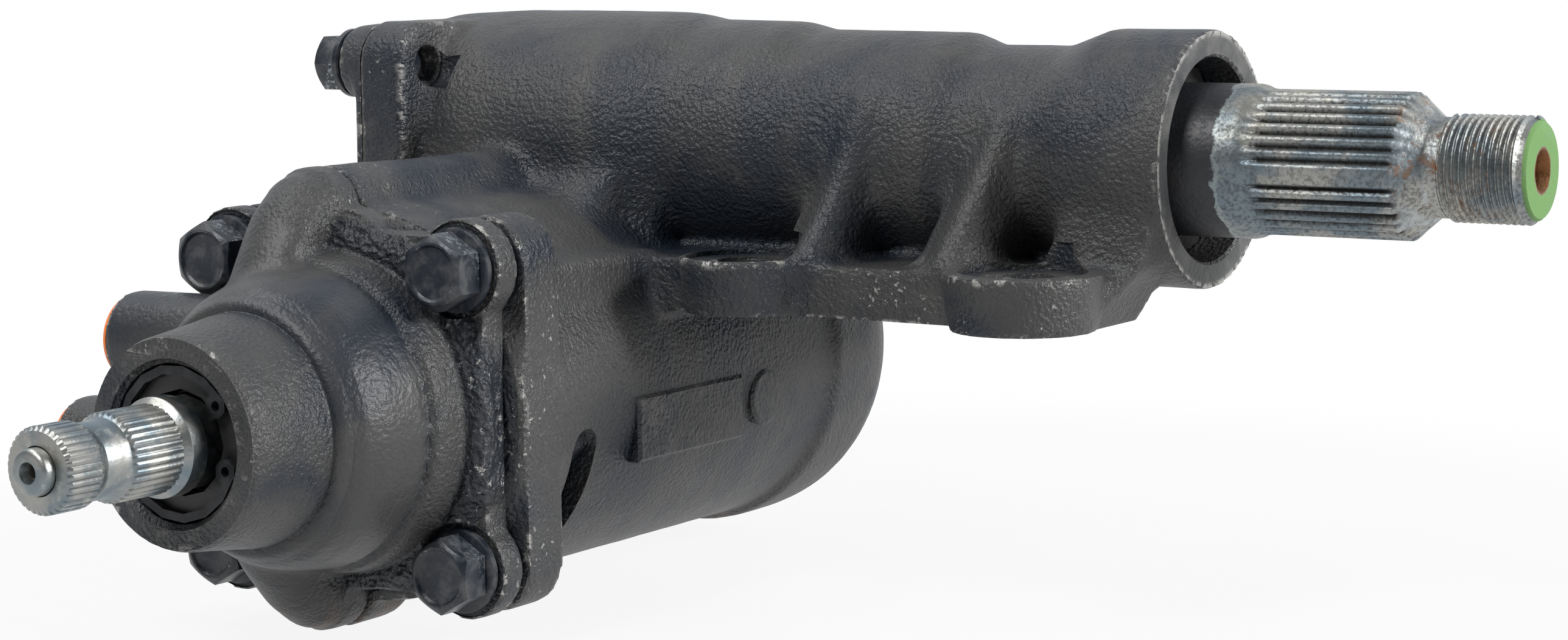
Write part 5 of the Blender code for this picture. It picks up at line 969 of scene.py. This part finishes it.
class GEARBOX_OT_bolts(bpy.types.Operator):
    """Forge one bolt and washer of each size and set a copy in each hole"""

    bl_idname = "gearbox.bolts"
    bl_label = "Bolts and washers"

    def execute(self, context):
        paint = bolt_paint(context.scene.gearbox_colours)
        for axis, places, name, face, flats, head, shank, end in (
            ("Y", VALVE_BOLTS, "valve_bolt", -99.5, 14.0, 7.0, 4.95, -79.7),
            ("X", COVER_BOLTS, "cover_bolt", -52.3, 12.4, 6.4, 3.95, -37.2),
        ):
            bolt, washer = self.forge(axis, name, places[0], face, flats, head, shank, end)
            pairs = [(bolt, washer)]
            for place in places[1:]:
                pairs.append(tuple(self.copied(obj, axis, places[0], place) for obj in (bolt, washer)))
            for i, (b, w) in enumerate(pairs):
                for obj, node in ((b, f"{name}_{i + 1}"), (w, f"{name}_washer_{i + 1}")):
                    obj.name = "forged_" + node
                    dress(obj, "housing", "black_bolts", node, finish=paint)
        return {"FINISHED"}

    def copied(self, obj, axis, first, place):
        only(obj)
        bpy.ops.object.duplicate()
        copy = bpy.context.object
        shift = at(*self.spot(axis, place)) - at(*self.spot(axis, first))
        copy.location = shift
        bpy.ops.object.transform_apply(location=True, rotation=False, scale=False)
        return copy

    def spot(self, axis, place):
        return (0, *place) if axis == "X" else (place[0], 0, place[1])

    def forge(self, axis, name, place, face, flats, head, shank, end):
        seat = face - 2.2
        top = seat - head
        corner = flats / math.sqrt(3)
        bolt = turned(name, axis, [(top, corner), (seat, corner)], 6, place)
        cut(bolt, [turned("bevel", axis, [
            (top - 0.05, flats / 2 - 0.7), (top + 0.1, flats / 2 - 0.5), (top + 1.1, corner + 0.1),
            (seat + 0.5, corner + 0.6)], 64, place)], "INTERSECT")
        cut(bolt, [turned("dish", axis, [
            (top - 1, flats / 2 - 0.95), (top + 0.05, flats / 2 - 1.15), (top + 0.55, flats / 2 - 1.7),
            (top + 0.7, flats / 2 - 3.4)], 48, place)])
        finish_modifier(bolt, "BEVEL", width=0.00022, segments=2, limit_method="ANGLE",
            angle_limit=math.radians(25))
        body = turned("shank", axis, [(seat - 2, shank), (end, shank), (end + 1, shank - 1)], 32, place)
        bolt = joined(bolt, [body])
        smooth(bolt)
        outer = flats / 2 + 1.8
        washer = turned(name + "_washer", axis, [
            (seat + 0.25, outer - 0.5), (seat + 0.55, outer), (face - 0.35, outer),
            (face - 0.02, outer - 0.4)], 64, place)
        cut(washer, [turned("hole", axis, [(seat - 2, shank + 0.35), (face + 2, shank + 0.35)], 32, place)])
        smooth(washer)
        return bolt, washer


class GEARBOX_OT_small_pieces(bpy.types.Operator):
    """Turn the port plugs and give every inner node its finish"""

    bl_idname = "gearbox.small_pieces"
    bl_label = "Plugs and inner pieces"

    def execute(self, context):
        colours = context.scene.gearbox_colours
        orange = orange_plastic(colours)
        for i, (y, rise) in enumerate(PORTS):
            centre = (y, WORM_Z + rise)
            plug = turned("plug", "X", [
                (-46.2, 7.2), (-46.25, 7.8), (-45.9, 9.0), (-45.2, 9.4), (-44.85, 9.4), (-44.85, 6.25),
                (-40, 6.15), (-37, 5.9),
            ], 64, centre)
            cut(plug, [turned("pocket", "X", [(-50, 5.4), (-46, 5.2), (-39, 4.8)], 48, centre)])
            plug.name = f"port_plug_cap_{i + 1}"
            smooth(plug)
            dress(plug, "housing", "orange_plastic", f"port_plug_{i + 1}", finish=orange)
        steel = hard_steel()
        by_slot = {
            "hard_steel": steel, "bare_steel": steel, "seal": oiled_rubber(), "black_bolts": blued_steel(),
            "plastic_rings": ring_plastic(), "gasket": gasket_sheet(), "orange_plastic": orange,
            "casting": bpy.data.materials["black_casting_paint"],
        }
        for part in frame["record"]["subparts"]:
            node = frame["nodes"][part["node"]]
            if not node.hide_render:
                for slot in node.material_slots:
                    slot.material = by_slot[part["material_slot"]]
        return {"FINISHED"}


class GEARBOX_OT_stage(bpy.types.Operator):
    """Set up the pale floor and backdrop, the soft lamps and the fitted camera"""

    bl_idname = "gearbox.stage"
    bl_label = "Stage"

    def execute(self, context):
        floor_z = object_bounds()[0].z
        bpy.ops.object.select_all(action="DESELECT")
        bpy.ops.mesh.primitive_plane_add(size=12, location=(0, 0, floor_z))
        floor = bpy.context.object
        floor.name = "studio_floor"
        edit_all()
        bpy.ops.mesh.subdivide(number_cuts=3)
        leave_edit()
        bpy.ops.object.transform_apply()
        floor.data.materials.append(self.backdrop(context))
        floor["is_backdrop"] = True
        self.world(context)
        self.lamps()
        self.camera(context)
        return {"FINISHED"}

    def backdrop(self, context):
        """White paper that keeps the object's shadow and fades into the background."""
        f = Finish("studio_floor_paper", Roughness=0.95)
        colour = tuple(context.scene.gearbox_colours.backdrop)
        f.set(Base_Color=f.mix(f.noise(3).ramp(0.3, 0.7), colour, tuple(min(1, c * 1.01) for c in colour)))
        path = f.tree.nodes.new("ShaderNodeLightPath")
        seen = Number(f, path.outputs["Is Camera Ray"]).most(Number(f, path.outputs["Is Glossy Ray"])).most(
            Number(f, path.outputs["Is Transmission Ray"]))
        x, y = f.along("X"), f.along("Y")
        near = 1 - (((x - 60) ** 2 + y * y) ** 0.5).ramp(190, 330)
        glow = f.node("Emission", {}, {"Color": (1, 1, 1), "Strength": 1.0})
        paper = Number(f, f.shader.outputs[0])
        mixed = f.node("MixShader", {}, {0: seen * (1 - near * 0.10), 1: paper, 2: glow})
        output = next(n for n in f.tree.nodes if n.type == "OUTPUT_MATERIAL")
        f.tree.links.new(mixed.socket, output.inputs["Surface"])
        return f.material

    def world(self, context):
        """White behind the object as the camera and the gloss see it, and a dim room in front."""
        world = bpy.data.worlds.new("studio")
        context.scene.world = world
        world.use_nodes = True
        tree = world.node_tree
        tree.nodes.clear()

        def node(kind, *links, **settings):
            made = tree.nodes.new("ShaderNode" + kind)
            for key, value in settings.items():
                setattr(made, key, value)
            for i, value in links:
                if isinstance(value, bpy.types.NodeSocket):
                    tree.links.new(value, made.inputs[i])
                else:
                    made.inputs[i].default_value = value
            return made

        path = node("LightPath")
        gaze = node("TexCoord").outputs["Generated"]
        behind = node("VectorMath", (0, gaze), (1, (-0.30, 0.95, 0.0)),
            operation="DOT_PRODUCT").outputs["Value"]
        left = node("VectorMath", (0, gaze), (1, (-0.90, -0.35, 0.25)),
            operation="DOT_PRODUCT").outputs["Value"]
        wall = node("MapRange", (0, behind), (1, 0.0), (2, 0.45),
            interpolation_type="SMOOTHSTEP").outputs[0]
        side = node("MapRange", (0, left), (1, 0.2), (2, 0.95), (4, 0.35),
            interpolation_type="SMOOTHSTEP").outputs[0]
        level = node("Math", (0, wall), (1, side), operation="MAXIMUM").outputs[0]
        level = node("Math", (0, level), (1, 0.04), operation="MAXIMUM").outputs[0]
        seen = node("Math", (0, path.outputs["Is Camera Ray"]), (1, path.outputs["Is Transmission Ray"]),
            operation="MAXIMUM").outputs[0]
        room = node("Background", (0, (0.93, 0.96, 1.0, 1)), (1, level))
        white = node("Background", (0, (1, 1, 1, 1)), (1, 1.0))
        mix = node("MixShader", (0, seen), (1, room.outputs[0]), (2, white.outputs[0]))
        node("OutputWorld", (0, mix.outputs[0]))

    def lamps(self):
        for name, place, target, size, power in (
            ("top_lamp", (-0.6, -0.3, 1.0), (-0.02, 0, 0), 0.4, 4),
            ("front_lamp", (-0.1, -0.95, 1.05), (-0.05, 0, 0), 0.35, 11),
            ("right_lamp", (1.2, 0.25, 0.5), (-0.05, 0, 0), 0.4, 19),
        ):
            bpy.ops.object.light_add(type="AREA", location=place)
            lamp = bpy.context.object
            lamp.name = name
            lamp.data.shape, lamp.data.size, lamp.data.energy = "DISK", size, power
            lamp.rotation_euler = (Vector(place) - Vector(target)).to_track_quat("Z", "Y").to_euler()

    def camera(self, context):
        """The place, heading, tilt and roll that fit the picture's round edges."""
        heading, rise, roll = CAMERA_HEADING, CAMERA_RISE, CAMERA_ROLL
        back = Vector(
            (math.sin(heading) * math.cos(rise), -math.cos(heading) * math.cos(rise), math.sin(rise)))
        right = Vector((math.cos(heading), math.sin(heading), 0))
        up = back.cross(right)
        turned_right = right * math.cos(roll) + up * math.sin(roll)
        turned_up = up * math.cos(roll) - right * math.sin(roll)
        bpy.ops.object.camera_add(location=CAMERA_PLACE)
        camera = bpy.context.object
        camera.rotation_euler = Matrix((turned_right, turned_up, back)).transposed().to_euler()
        camera.data.lens, camera.data.sensor_width = CAMERA_LENS, SENSOR_WIDTH
        camera.data.clip_start, camera.data.clip_end = 0.01, 30
        context.scene.camera = camera
        context.scene.view_settings.view_transform = "Standard"


class GEARBOX_PT_panel(bpy.types.Panel):
    """The gearbox's pieces, sizes and colours"""

    bl_idname = "GEARBOX_PT_panel"
    bl_label = "Steering gearbox"
    bl_space_type = "VIEW_3D"
    bl_region_type = "UI"
    bl_category = "Gearbox"

    def draw(self, context):
        for group in (context.scene.gearbox_sizes, context.scene.gearbox_colours):
            box_area = self.layout.box()
            for name in group.bl_rna.properties.keys():
                if name not in ("rna_type", "name"):
                    box_area.prop(group, name)
        for operator in OPERATORS:
            self.layout.operator(operator.bl_idname)


OPERATORS = (
    GEARBOX_OT_gear_casting,
    GEARBOX_OT_valve_casting,
    GEARBOX_OT_side_cover,
    GEARBOX_OT_output_shaft,
    GEARBOX_OT_input_shaft,
    GEARBOX_OT_bolts,
    GEARBOX_OT_small_pieces,
    GEARBOX_OT_stage,
)
CLASSES = (GearboxSizes, GearboxColours, *OPERATORS, GEARBOX_PT_panel)


def register():
    for cls in CLASSES:
        bpy.utils.register_class(cls)
    bpy.types.Scene.gearbox_sizes = bpy.props.PointerProperty(type=GearboxSizes)
    bpy.types.Scene.gearbox_colours = bpy.props.PointerProperty(type=GearboxColours)


def unregister():
    del bpy.types.Scene.gearbox_sizes, bpy.types.Scene.gearbox_colours
    for cls in reversed(CLASSES):
        bpy.utils.unregister_class(cls)


def main():
    register()
    for operator in OPERATORS:
        group, name = operator.bl_idname.split(".")
        getattr(getattr(bpy.ops, group), name)()


if __name__ == "__main__":
    main()
